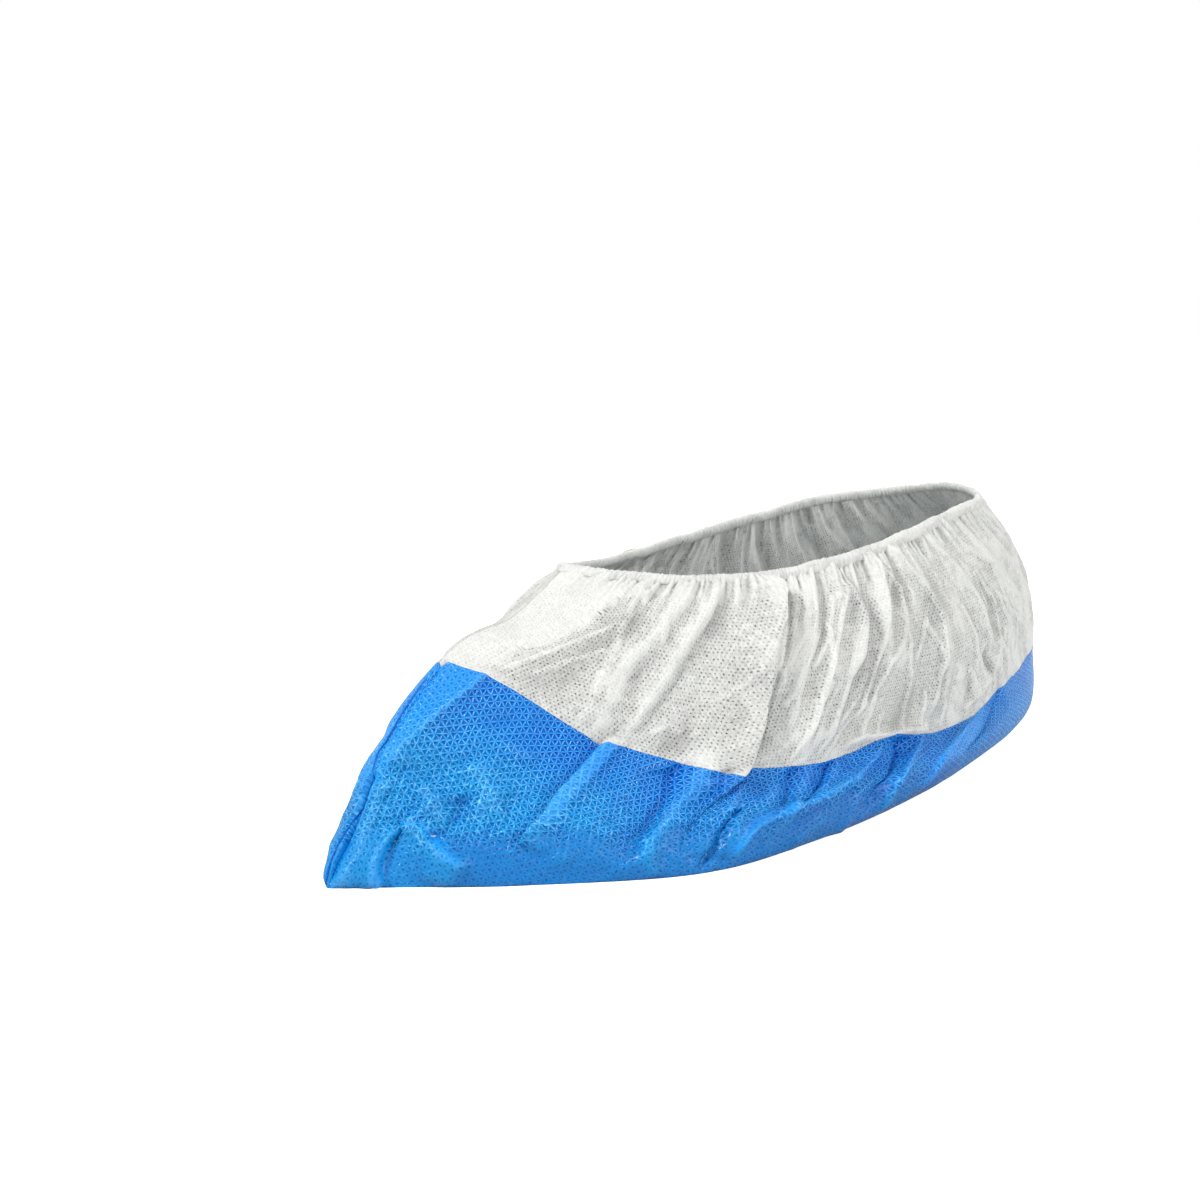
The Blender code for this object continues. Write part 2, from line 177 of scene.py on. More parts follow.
def new_material(name):
    """A material, its node tree and its Principled shader."""
    made = bpy.data.materials.new(name)
    made.use_nodes = True
    return made, made.node_tree, made.node_tree.nodes["Principled BSDF"]


print("node helpers are ready")

# %% [markdown]
# ## Floor and light
#
# White cloth on a white ground needs light with a clear direction, or its folds vanish.  One
# broad key light stands high on the left of the camera, a weaker one fills from the right, and
# the sky fills the rest at three quarters of the strength it is seen with.  The floor is pale
# too, so that it bounces light up into the low walls, and it glows a little where it is seen,
# without lighting the cloth.  The Standard view transform keeps the white clean.

# %% Floor, world and lamps
LAMPS = (
    # name, where it shines from, strength, angular size in degrees
    ("key_light", (-0.08, -0.80, 0.70), 2.2, 14),
    ("fill_light", (0.85, 0.30, 0.40), 1.35, 40),
)
SKY = 0.73                # the sky's strength as a light
FLOOR_GLOW = 0.85         # lifts the seen floor to white, without lighting the cloth
FLOOR_SHADES = (0.70, 0.73)
FLOOR_HALF = 30.0         # half its width, in metres
FLOOR_GAP = 0.05 * MM     # it lies this far under the sole
WHITE = (1.0, 1.0, 1.0, 1.0)


def add_lamp(name, source, strength, size):
    data = bpy.data.lights.new(name, "SUN")
    data.energy = strength
    data.angle = math.radians(size)
    made = bpy.data.objects.new(name, data)
    made.rotation_euler = (-Vector(source)).to_track_quat("-Z", "Y").to_euler()
    made.location = source
    bpy.context.scene.collection.objects.link(made)


def seen_directly(tree):
    """1 where the camera looks straight at it, and 0 where it only lights other things."""
    return add_node(tree, "ShaderNodeLightPath").outputs["Is Camera Ray"]


def add_world():
    """A sky that looks plain white and lights a little more weakly."""
    world = bpy.data.worlds.new("studio")
    world.use_nodes = True
    tree = world.node_tree
    strength = between(tree, seen_directly(tree), SKY, 1.0)
    fill_sockets(tree, tree.nodes["Background"], {"Color": WHITE, "Strength": strength})
    bpy.context.scene.world = world


def add_floor(height):
    """A wide plane just under the sole."""
    corners = [(x * FLOOR_HALF, y * FLOOR_HALF, height)
               for x, y in ((-1, -1), (1, -1), (1, 1), (-1, 1))]
    mesh = bpy.data.meshes.new("floor")
    mesh.from_pydata(corners, [], [(0, 1, 2, 3)])
    finish, tree, shader = new_material("pale_floor")
    grain = noise_node(tree, add_node(tree, "ShaderNodeTexCoord").outputs["Object"], 40.0)
    shade = remap(tree, grain, 0.3, 0.7, *FLOOR_SHADES)
    colour = add_node(tree, "ShaderNodeCombineColor", {0: shade, 1: shade, 2: shade})
    fill_sockets(tree, shader, {
        "Base Color": colour, "Roughness": 0.8, "Specular IOR Level": 0.1,
        "Emission Color": WHITE,
        "Emission Strength": times(tree, seen_directly(tree), FLOOR_GLOW)})
    mesh.materials.append(finish)
    made = bpy.data.objects.new("floor", mesh)
    bpy.context.scene.collection.objects.link(made)
    made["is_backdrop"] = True


for row in LAMPS:
    add_lamp(*row)
add_world()
add_floor(cad_low.z - FLOOR_GAP)
bpy.context.scene.view_settings.view_transform = "Standard"
print("lamps:", [row[0] for row in LAMPS])

# %% [markdown]
# ## The pouch's smooth shape
#
# We could sculpt the hull, or simulate a pouch falling over a boot.  A loft is easier to steer:
# five rings go round the cover at rising heights, and a short table gives each ring's half
# width at ten stations from toe to heel.  Smooth curves run through the stations and then up
# through the rings.  Any point of the cloth then has two numbers: its position round the loop,
# and its level, where 0 is the floor and 4 the hem.

# %% The loft
RINGS = (
    # ring, y at the toe, y at the heel, in millimetres
    ("floor", -170, 157),
    ("bulge", -165.5, 165),
    ("edge", -128, 165),
    ("shoulder", -98, 161),
    ("hem", -75, 131),
)
BULGE_Z = 13
STATION_COLUMNS = ("along", "floor_x", "bulge_x", "edge_x", "edge_z",
                   "shoulder_x", "shoulder_z", "hem_x", "hem_z")
STATIONS = (
    (0.000, 0, 0, 0, 60, 0, 71, 0, 85),
    (0.050, 14, 14, 17, 52, 17, 70, 14, 83),
    (0.130, 37, 38, 39, 35, 33, 67, 24, 81),
    (0.270, 65, 65, 58, 25, 48, 58, 34, 81),
    (0.420, 67, 71, 61, 23, 53, 50, 40, 84),
    (0.600, 59, 67, 56, 21, 52, 46, 39, 89),
    (0.760, 46, 55, 47, 25, 45, 49, 34, 94),
    (0.900, 31, 39, 35, 32, 33, 55, 26, 96),
    (0.975, 17, 22, 22, 36, 20, 60, 14, 97),
    (1.000, 0, 0, 0, 38, 0, 62, 0, 98),
)
INNER_SIDE = 0.86         # the inner side's half widths, against the outer side's
HEEL = len(STATIONS) - 1  # loop position of the heel: 0 is the toe, and 2 * HEEL the toe again
EDGE_LEVEL = 2.0          # the film's edge
HEM_LEVEL = 4.0           # the top of the hem
GROUND = cad_low.z / MM   # height of the floor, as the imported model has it
stations = np.array(STATIONS, float)
print("the loft has", len(RINGS), "rings and", len(STATIONS), "stations")

# %% [markdown]
# ## Curves through the rings
#
# A Catmull-Rom curve passes through all its knots, so the table's numbers are real sizes.  It
# serves twice: round each ring, and up through the five rings at any place of the loop.  A
# sixth ring, drawn in under the floor, makes the cloth meet the floor at a slant.

# %% The smooth skin
UNDER_RING = (0.75, 0.97, 0.0)  # the sixth ring, as shares of the floor ring
NUDGE = 0.02              # a small step on the skin, to measure its slopes with


def station_column(name):
    return stations[:, STATION_COLUMNS.index(name)]


def catmull_rom(a, b, c, d, t):
    """The smooth curve between b and c, with neighbours a and d."""
    return 0.5 * (2 * b + (c - a) * t + (2 * a - 5 * b + 4 * c - d) * t ** 2
                  + (3 * b - a - 3 * c + d) * t ** 3)


def through(knots, places):
    """A smooth curve through the knots, read at fractional knot numbers."""
    knots = np.asarray(knots, float)
    padded = np.concatenate([2 * knots[:1] - knots[1:2], knots, 2 * knots[-1:] - knots[-2:-1]])
    places = np.clip(places, 0, len(knots) - 1 - 1e-9)
    start = places.astype(int)
    t = (places - start).reshape(-1, *[1] * (knots.ndim - 1))
    return catmull_rom(*(padded[start + i] for i in range(4)), t)


def ring_knots(ring, toe_y, heel_y):
    """A ring's knots, down the outer side from toe to heel and back up the inner side."""
    along = station_column("along")
    height = {"floor": 0 * along, "bulge": 0 * along + BULGE_Z}.get(ring)
    if height is None:
        height = station_column(ring + "_z")
    outer = np.stack([station_column(ring + "_x"), toe_y + (heel_y - toe_y) * along, height], 1)
    return np.concatenate([outer, (outer * (-INNER_SIDE, 1, 1))[-2::-1]])


def smooth_skin(loop, level):
    """The pouch without its folds, in millimetres above the floor."""
    loop, level = np.broadcast_arrays(np.asarray(loop, float), np.asarray(level, float))
    loop = np.where((loop < 0) | (loop > 2 * HEEL), loop % (2 * HEEL), loop)
    rings = [through(ring_knots(*row), loop.ravel()) for row in RINGS]
    stack = np.stack([rings[0] * UNDER_RING, *rings, 2 * rings[-1] - rings[-2]])
    places = np.clip(level.ravel() + 1, 1, len(RINGS))
    start = np.minimum(places.astype(int), len(RINGS) - 1)
    pick = np.arange(len(start))
    t = (places - start)[:, None]
    points = catmull_rom(*(stack[start + i - 1, pick] for i in range(4)), t)
    points[:, 2] = np.maximum(points[:, 2], 0.0)
    return points.reshape(*loop.shape, 3)


def unit(vectors):
    return vectors / np.maximum(np.linalg.norm(vectors, axis=-1, keepdims=True), 1e-9)


def skin_slope(loop, level):
    """How the skin runs on round the loop, over twice the nudge."""
    return smooth_skin(loop + NUDGE, level) - smooth_skin(loop - NUDGE, level)


def outward(loop, level):
    """Unit normals of the smooth pouch, away from the foot."""
    upward = smooth_skin(loop, level + NUDGE) - smooth_skin(loop, level - NUDGE)
    return unit(np.cross(skin_slope(loop, level), upward))


def along_of(loop):
    """Share of the way from toe to heel, on either side."""
    folded = HEEL - np.abs(np.asarray(loop, float) - HEEL)
    return np.interp(folded, np.arange(HEEL + 1), station_column("along"))


print("at the film's edge the side stands", smooth_skin(4.0, EDGE_LEVEL)[0].round(1), "mm out")

# %% [markdown]
# ## Measuring along the cloth
#
# The film's edge, the weave and the creases are all printed or pressed on flat cloth, so they
# must be placed by distance along it and not by height.  We walk up every column of the loft,
# add the steps, and can then ask for the level at which a column has climbed so many
# millimetres.  Columns are spaced evenly along the shoulder, because a flat pouch has the same
# cloth everywhere; only near the toe, with its small creases, do they stand closer.

# %% Columns and distances
FLAT_LENGTH = 360.0       # the flat pouch, toe weld to heel weld, in millimetres
SIDE_COLUMNS = 540        # columns of faces along each side
TOE_CROWD = 1.2           # how much closer the columns stand at the toe
TOE_REACH = 22.0          # and how far from it
SHOULDER_LEVEL = 3.0
WALK_STEPS = 241
DIPS = (
    # along, how far the film's edge hangs below its ring: outer side, inner side, millimetres
    (0.000, -0.5, -0.5), (0.003, 0.8, -0.4), (0.005, -1.5, -0.3), (0.020, -0.9, -0.3),
    (0.045, -0.2, 0.0),
    (0.110, 1.6, 0.7), (0.1215, 2.4, 1.0), (0.1235, 0.9, 0.5), (0.134, -0.1, 0.0),
    (0.170, 0.4, 0.5), (0.187, 1.2, 0.8), (0.195, 1.8, 1.0), (0.203, 2.7, 1.2),
    (0.211, 4.0, 1.5), (0.2266, 4.5, 1.7), (0.2325, 6.0, 1.8), (0.2385, 7.3, 1.9),
    (0.2452, 8.5, 2.0), (0.2468, 0.6, 0.2),
    (0.310, 0.6, 0.5), (0.370, 1.5, 0.7), (0.415, 0.2, 0.0), (0.450, -2.2, -0.7),
    (0.490, -3.5, -1.5), (0.540, -1.0, -0.5), (0.585, 0.8, 0.3), (0.620, 1.4, 0.5),
    (0.690, 2.5, 1.2), (0.760, 0.5, 0.3), (1.000, 0.0, 0.0),
)


def distances_along(points, axis=0):
    """How far one has walked at each point of a row of points."""
    steps = np.linalg.norm(np.diff(points, axis=axis), axis=-1)
    return np.insert(np.cumsum(steps, axis=axis), 0, 0, axis=axis)


def column_places():
    """Loop positions of one side's columns, and their distance from the toe weld."""
    fine = np.linspace(0, HEEL, 4000)
    walked = distances_along(smooth_skin(fine, SHOULDER_LEVEL))
    crowd = 1 + TOE_CROWD * np.exp(-(walked / TOE_REACH) ** 2)
    counted = np.concatenate([[0], np.cumsum(np.diff(walked) * (crowd[1:] + crowd[:-1]) / 2)])
    even = np.linspace(0, counted[-1], SIDE_COLUMNS + 1)
    return np.interp(even, counted, fine), np.interp(even, counted, walked)


side_loops, side_walk = column_places()
side_length = side_walk[-1]
flat_scale = FLAT_LENGTH / side_length
columns = np.concatenate([side_loops, 2 * HEEL - side_loops[-2::-1]])
column_along = along_of(columns)
from_toe = np.concatenate([side_walk, side_walk[-2::-1]])
from_weld = np.minimum(from_toe, side_length - from_toe)
is_outer = np.arange(len(columns)) < SIDE_COLUMNS
hand = np.where(is_outer, 1.0, -1.0)  # 1 on the outer side of the centre plane
walk_levels = np.linspace(0, HEM_LEVEL, WALK_STEPS)
climbed = distances_along(smooth_skin(*np.meshgrid(columns, walk_levels)))


def level_at(distance):
    """The level at which each column has climbed its distance, for rows of distances."""
    picked = [np.interp(distance[:, c], climbed[:, c], walk_levels) for c in range(len(columns))]
    return np.stack(picked, axis=1)


def on_cloth(path):
    """Millimetres from the toe and up the cloth, for a path of (along, level) pairs."""
    along, level = np.array(path, float).T
    column = np.searchsorted(along_of(side_loops), along).clip(0, SIDE_COLUMNS)
    up = [np.interp(v, walk_levels, climbed[:, c]) for v, c in zip(level, column)]
    return np.stack([side_walk[column], up], axis=1)


dip_along, *side_dips = np.array(DIPS).T
dips = np.where(is_outer, *(np.interp(column_along, dip_along, dip) for dip in side_dips))
edge_climb = climbed[walk_levels == EDGE_LEVEL][0] - dips
hem_climb = climbed[-1]
print("film on the walls, in mm:", edge_climb.min().round(1), "to", edge_climb.max().round(1))
print("bare cloth, in mm:", (hem_climb - edge_climb).min().round(1), "to",
      (hem_climb - edge_climb).max().round(1))

# %% [markdown]
# ## Randomness that repeats
#
# Cloth is irregular, yet a script must give the same cloth each time it runs.  Seeded tables
# of random numbers do that.  We need three kinds: a smooth wavy line, a smooth field, and a
# field of flat facets with sharp edges between them, which is how crumpled film looks.

# %% Seeded noise
TABLE = 256               # random values in a table, along each side
FACET_BEND = 0.45         # how far the facets' corners stray, as a share of their size


def fade_curve(x):
    return x * x * x * (x * (6 * x - 15) + 10)


def wavy_line(x, seed):
    """Smooth noise along a line, from -1 to 1, with one random value per unit."""
    table = np.random.default_rng(seed).uniform(-1, 1, TABLE)
    start = np.floor(x).astype(int)
    t = fade_curve(x - start)
    return table[start % TABLE] * (1 - t) + table[(start + 1) % TABLE] * t


def cell_corners(x, y, seed):
    """Random values at the four corners of each point's cell, and the place inside it."""
    table = np.random.default_rng(seed).uniform(-1, 1, (TABLE, TABLE))
    i, j = np.floor(x).astype(int), np.floor(y).astype(int)
    s, t = x - i, y - j
    i, j, i1, j1 = i % TABLE, j % TABLE, (i + 1) % TABLE, (j + 1) % TABLE
    return table[i, j], table[i1, j], table[i, j1], table[i1, j1], s, t


def wavy_field(x, y, seed):
    """Smooth noise over a plane, from -1 to 1."""
    here, right, above, across, s, t = cell_corners(x, y, seed)
    s, t = fade_curve(s), fade_curve(t)
    return (here * (1 - s) + right * s) * (1 - t) + (above * (1 - s) + across * s) * t


def facets(x, y, size, turn, seed):
    """Flat triangular facets of about that size, with random corner heights from -1 to 1."""
    bend = size * FACET_BEND
    x, y = (x + bend * wavy_field(x / size, y / size, seed + 1),
            y + bend * wavy_field(x / size + 31, y / size, seed + 2))
    c, s = math.cos(turn), math.sin(turn)
    a, b = (c * x - s * y) / size, (s * x + c * y) / (size * math.sqrt(0.75))
    here, right, above, across, s, t = cell_corners(a - b / 2, b, seed)
    lower = here * (1 - s - t) + right * s + above * t
    upper = across * (s + t - 1) + above * (1 - s) + right * (1 - t)
    return np.where(s + t < 1, lower, upper)


def facet_layers(x, y, layers):
    """The sum of several sizes of facets, each with its height and how narrow it is."""
    return sum(height * facets(x * narrow, y, size, turn, seed)
               for height, narrow, size, turn, seed in layers)


def ease(x):
    """0 below 0, 1 above 1, and smooth between."""
    x = np.clip(x, 0.0, 1.0)
    return x * x * (3 - 2 * x)


def ramp(x, start, full):
    """0 at the start, 1 at full, and smooth between."""
    return ease((x - start) / (full - start))


def bump_at(x, centre, reach):
    """1 at the centre, and 0 at reach or further from it."""
    return ease(1 - np.abs(x - centre) / reach)


trial = facets(np.linspace(0, 100, 500), np.zeros(500), 10, 0.3, 5)
print("facet heights run from", trial.min().round(2), "to", trial.max().round(2))

# %% [markdown]
# ## Folds and creases
#
# Thin bonded cloth does not flow like silk: between the gathers and the film's edge it hangs
# in crisp ridges with slack panels between them, and film breaks along sharp lines.  Each row
# of the tables draws one such ridge along a path on the cloth.  It has its own height and its
# own reach on each side, so that it can be a tent, a step or, with a negative height, a
# groove.  A ridge with a lip also slides sideways, so that its crest hangs over the cloth
# beside it, as a real pleat does.  Every crest rises a little more in its last millimetre or
# two, which draws the crisp line that thin cloth shows.

# %% Ridges of the cloth
# Each ridge: its height, its reach to the heel and to the toe, its lip, all in millimetres,
# and then its path of places (along, level).
CLOTH_RIDGES = {
    "outer": (
        (2, 9, 12, 0, (.090, 4), (.090, 3.4), (.094, 2.9), (.095, 2.3), (.100, 1.95)),
        (2.4, 7, 9, 0.7, (.147, 4), (.138, 3.5), (.124, 3.15), (.113, 2.75), (.102, 2.5),
         (.106, 2.2), (.109, 1.85)),
        (2, 4.5, 9, 0.8, (.190, 4), (.178, 3.55), (.157, 2.95), (.143, 2.6), (.129, 2.3),
         (.123, 2)),
        (1.2, 5, 6, 0, (.253, 3.95), (.251, 3.45), (.237, 3.1), (.223, 2.6)),
        (5.2, 3.2, 17, 5, (.266, 4.05), (.254, 3.7), (.247, 3.45), (.238, 3), (.237, 2.6),
         (.2365, 2.2), (.239, 1.9), (.2415, 1.4)),
        (-1.6, 7, 4, 0, (.302, 3.9), (.284, 3.3), (.268, 2.6), (.264, 2.1)),
        (1.4, 5, 6, 0, (.347, 3.95), (.325, 3.4), (.307, 2.9), (.295, 2.3)),
        (2.3, 7, 9, 0, (.401, 4), (.391, 3.65), (.374, 3.45), (.351, 3.1), (.339, 2.75),
         (.326, 2.4), (.321, 2.05)),
        (2.3, 4, 10, 0.6, (.400, 3.8), (.408, 3.4), (.396, 3.05), (.373, 2.8), (.363, 2.5),
         (.356, 2.1)),
        (2.3, 8, 7, 0, (.493, 4), (.481, 3.7), (.457, 3.4), (.447, 3.2), (.421, 2.9), (.409, 2.6),
         (.399, 2.3)),
        (1.8, 8, 6, 0, (.483, 3.9), (.512, 3.6), (.505, 3.35), (.483, 3.12), (.455, 2.95),
         (.428, 2.7), (.413, 2.35)),
        (2.6, 9, 12, 0, (.535, 4), (.550, 3.75), (.572, 3.5), (.582, 3.3), (.578, 3.05),
         (.564, 2.8), (.562, 2.5), (.566, 2.2)),
        (1.8, 8, 9, 0, (.643, 4), (.657, 3.8), (.683, 3.6), (.705, 3.35), (.708, 3.1), (.715, 2.7)),
        (1.7, 8, 8, 0, (.706, 4), (.734, 3.75), (.764, 3.6), (.794, 3.5), (.839, 3.2), (.864, 2.9)),
        (1, 6, 4, 0, (.098, 3.05), (.066, 2.75), (.050, 2.45), (.036, 2.1)),
        (0.8, 5, 4, 0, (.090, 2.68), (.068, 2.45), (.051, 2.15)),
        (-1.2, 3, 3, 0, (.693, 2.9), (.715, 2.68), (.738, 2.4)),
        (0.7, 4, 5, 0, (.148, 2.14), (.165, 2.26), (.182, 2.2)),
        (1.8, 5, 3.5, 0, (.388, 2.1), (.418, 2.16), (.478, 2.14), (.528, 2.14), (.578, 2.02)),
        (1.5, 6, 6, 0, (.766, 2.95), (.736, 2.6), (.696, 2.3), (.656, 2.1)),
    ),
    "inner": (
        (2, 9, 11, 0, (.110, 4), (.104, 3.3), (.100, 2.5), (.108, 2)),
        (2.6, 7, 10, 0.9, (.190, 4), (.175, 3.3), (.160, 2.6), (.150, 1.9)),
        (1.7, 6, 7, 0, (.250, 4), (.240, 3.3), (.215, 2.5)),
        (5, 15, 3.4, -4, (.330, 4.05), (.325, 3.4), (.305, 2.6), (.300, 1.8)),
        (2.3, 8, 8, 0, (.400, 4), (.395, 3.3), (.370, 2.7), (.360, 2.1)),
        (2.1, 8, 6, 0, (.470, 4), (.450, 3.4), (.440, 2.8), (.410, 2.3)),
        (2.4, 10, 8, 0, (.540, 4), (.560, 3.4), (.555, 2.8), (.530, 2.2)),
        (2.1, 8, 9, 0, (.620, 4), (.650, 3.4), (.660, 2.8), (.640, 2.3)),
        (1.8, 9, 8, 0, (.700, 4), (.740, 3.5), (.770, 3), (.780, 2.4)),
        (1.5, 8, 8, 0, (.800, 3.9), (.850, 3.3), (.880, 2.7)),
        (1.5, 5, 4, 0, (.420, 2.15), (.480, 2.2), (.540, 2.1)),
    ),
}
print("ridges on each side of the cloth:", [len(rows) for rows in CLOTH_RIDGES.values()])

# %% [markdown]
# ## Creases of the film
#
# The film creases most at the toe, where the pouch's corner has no foot to fill it: a slot runs
# beside the weld, and a tent of creases stands on the floor in front.  Then comes a step in its
# edge, and long dents and ridges along the walls.  The second table says where handling has
# left the film smooth; there it is also painted paler, a painted light.

# %% Creases of the film
# Five paths carry a ridge as well as a smooth place.
TOE_SLOT = ((.000, 1.42), (.001, 1.32), (.003, 1.18), (.0055, 1), (.0045, .6), (.0015, .15))
TOE_TENT = ((.034, 2.15), (.030, 1.9), (.024, 1.76), (.019, 1.64), (.013, 1.52), (.009, 1.42))
EDGE_STEP = ((.123, 2.12), (.122, 1.85), (.122, 1.5), (.126, 1.25), (.125, 1))
INSTEP_FOLD = ((.297, .55), (.315, .88), (.359, 1.06), (.397, 1.13), (.435, 1.35), (.457, 1.75))
HEEL_FOLD = ((.693, 2), (.681, 1.8), (.638, 1.5), (.598, 1.05), (.566, .45))
FILM_RIDGES = {
    "outer": (
        (-0.7, 1.2, 1.4, 0, (.003, 2.1), (.0035, 1.9), (.003, 1.7), (.001, 1.5)),
        (-3.8, 3.4, 2.2, 0, *TOE_SLOT),
        (2.4, 16, 8, 0, *TOE_TENT),
        (1.6, 5, 9, 0, (.014, 1.4), (.016, 1.15), (.020, .85), (.014, .5), (.006, .15)),
        (2.8, 7, 2.2, 0, (.039, .02), (.036, .35), (.034, .75), (.035, .98), (.039, 1.13)),
        (3, 4, 8, 0, (.037, 1.1), (.042, 1.12), (.049, 1.07), (.064, .95), (.080, .75), (.098, .5)),
        (1.8, 4, 4, 0, (.040, 1.13), (.047, 1.22), (.049, 1.34)),
        (-0.8, 3, 4, 0, (.022, 1.46), (.022, 1.33), (.016, 1.22)),
        (1.9, 4, 5, 0, (.036, 1.38), (.050, 1.25), (.066, 1.15), (.080, 1.02)),
        (-1.9, 4, 4, 0, (.066, 1.36), (.071, 1.2), (.070, 1.08), (.056, .98)),
        (1.9, 6, 5, 0, (.054, 1.55), (.078, 1.4), (.098, 1.25), (.122, 1)),
        (-1.6, 5, 5, 0, (.090, 1.45), (.104, 1.2), (.126, .85), (.150, .6)),
        (1, 6, 6, 0, (.101, 1.15), (.137, .85), (.169, .55)),
        (3, 4.5, 2, -1.7, *EDGE_STEP, (.122, .8)),
        (-2.6, 5, 10, 0, (.184, 1.98), (.195, 1.65), (.204, 1.3), (.207, 1.05), (.205, .7),
         (.198, .4)),
        (1.7, 5, 5, 0, (.205, 1.95), (.215, 1.55), (.222, 1.15), (.217, .7), (.208, .4)),
        (-1.8, 5, 9, 0, (.224, 1.97), (.236, 1.5), (.247, 1), (.250, .5)),
        (-2, 2.2, 2.2, 0, (.279, 1.4), (.280, 1), (.276, .65), (.262, .05)),
        (1.4, 5, 5, 0, (.256, 1.8), (.272, 1.35), (.288, .9), (.296, .55)),
        (-1.8, 6, 6, 0, (.314, 1.98), (.324, 1.75), (.335, 1.4), (.346, 1.15)),
        (-2, 4, 8, 0, (.379, 1.97), (.377, 1.7), (.373, 1.3), (.365, 1.1)),
        (2.6, 9, 5, 0, (.296, .15), *INSTEP_FOLD, (.471, 2.1)),
        (-2.4, 8, 8, 0, (.513, 2.1), (.502, 1.6), (.490, 1), (.487, .4)),
        (1.7, 7, 4, 0, (.556, 2.05), (.538, 1.5), (.514, .85), (.505, .3)),
        (1.8, 10, 7, 0, *HEEL_FOLD),
        (-1.4, 9, 7, 0, (.795, 2), (.745, 1.6), (.695, 1.2), (.665, .7)),
    ),
    "inner": (
        (1.8, 6, 3, 0, (.034, .05), (.035, .6), (.040, 1.1)),
        (1.8, 5, 6, 0, (.040, 1.1), (.060, 1), (.085, .7)),
        (2.6, 8, 3, -1.8, (.140, 2), (.142, 1.5), (.150, .9)),
        (-3.2, 7, 9, 0, (.215, 2), (.225, 1.3), (.220, .5)),
        (-3.6, 5, 7, 0, (.305, 1.9), (.315, 1.2), (.305, .3)),
        (2.4, 9, 6, 0, (.330, .95), (.400, 1.05), (.450, 1.4), (.475, 2)),
        (-3, 8, 8, 0, (.530, 2.1), (.520, 1.2), (.515, .5)),
        (2.4, 9, 6, 0, (.640, 2), (.610, 1.3), (.585, .5)),
        (-2, 9, 8, 0, (.760, 2), (.720, 1.3), (.690, .6)),
    ),
}
# Each smooth place, painted paler as a painted light: how far it reaches to the heel and to the
# toe, how pale it is, its path.
SMOOTH_LIT_PLACES = {
    "outer": (
        (1.6, 1.2, 1.0, *TOE_SLOT),
        (0.3, 14, 0.8, *TOE_TENT, (.006, 1.2)),
        (2.4, 0.5, 1.0, *EDGE_STEP),
        (1.2, 0.4, 0.9, (.038, 1.13), (.048, 1.11), (.066, .99), (.082, .75), (.098, .5)),
        (0.6, 6, 0.35, (.034, .05), (.034, .45), (.035, .85), (.036, 1.0)),
        (9, 3, 0.6, *HEEL_FOLD),
        (2, 1, 0.5, (.205, 1.9), (.215, 1.55), (.222, 1.15), (.217, .7), (.208, .4)),
        (3, 1, 0.6, *INSTEP_FOLD),
    ),
    "inner": (
        (5, 5, 0.9, (.003, 2.1), (.003, 1.6), (.003, 1.2)),
    ),
}
print("ridges on each side of the film:", [len(rows) for rows in FILM_RIDGES.values()])

# %% [markdown]
# ## Drawing a ridge
#
# For every point of the cloth we need its distance from a path, and on which side of the path
# it lies.  The height then follows from a simple curve of that distance.  Sculpting would look
# as good, but a table can be read, changed and run again.

# %% Drawing a ridge
HEADS = 4                 # numbers in a ridge's row before its path
CREST_ROUND = 0.25        # radius of every crest, in millimetres
CREST_LINE = 0.28         # share of its height that a crest rises further in its last
CREST_LINE_REACH = 1.4    # millimetres, which gives it a crisp line
HANG = 1.35               # how far the cloth sags between a crest and its foot; 1 is straight
RIDGE_START = 0.10        # share of its path in which a ridge rises
RIDGE_END = 0.14          # and in which it sinks back


def across_path(x, y, path):
    """Signed distance from a path, positive on the heel's side, and the share walked of it."""
    lengths = np.linalg.norm(np.diff(path, axis=0), axis=1)
    nearest, facing, share = np.full(x.shape, 1e9), np.ones(x.shape), np.zeros(x.shape)
    before = 0.0
    for start, end, length in zip(path[:-1], path[1:], lengths):
        run = (end - start) / length
        dx, dy = x - start[0], y - start[1]
        t = np.clip(dx * run[0] + dy * run[1], 0, length)
        away = np.hypot(dx - t * run[0], dy - t * run[1])
        closer = away < nearest
        nearest = np.where(closer, away, nearest)
        facing = np.where(closer, np.sign(run[0] * dy - run[1] * dx), facing)
        share = np.where(closer, (before + t) / lengths.sum(), share)
        before += length
    return nearest * facing, share


def press_ridge(push, slide, x, y, height, heelward, toeward, lip, path):
    """Adds one ridge to how far the cloth is pushed out and slid along."""
    offset, share = across_path(x, y, path)
    reach = np.where(offset > 0, heelward, toeward)
    away = np.sqrt(offset ** 2 + CREST_ROUND ** 2) - CREST_ROUND
    fade = ramp(share, 0, RIDGE_START) * ramp(share, 1, 1 - RIDGE_END)
    profile = np.clip(1 - away / reach, 0, 1) ** HANG
    if lip == 0:
        crest = CREST_LINE * np.clip(1 - away / CREST_LINE_REACH, 0, 1)
        push += height * (profile + crest) * fade
        return
    profile = np.where(offset * np.sign(lip) > 0, 1 - ease(away / reach), profile)
    push += height * profile * fade
    slide += lip * profile * fade


def press_ridges(push, slide, up, ridges):
    """Adds (side, height, reaches, lip, path) rows; the arrays have the cloth's columns."""
    x_all = np.broadcast_to(from_toe, up.shape)
    for side, height, heelward, toeward, lip, path in ridges:
        margin = max(heelward, toeward) + 1
        near = (from_toe > path[:, 0].min() - margin) & (from_toe < path[:, 0].max() + margin)
        picked = np.flatnonzero(near & (is_outer == (side == "outer")))
        if len(picked):
            part = slice(picked[0], picked[-1] + 1)
            press_ridge(push[:, part], slide[:, part], x_all[:, part], up[:, part],
                        height, heelward, toeward, lip, path)


def table_rows(table):
    """The rows of a table of two sides, with their paths measured on the cloth."""
    return [(side, *row[:HEADS], on_cloth(row[HEADS:])) for side, rows in table.items()
            for row in rows]


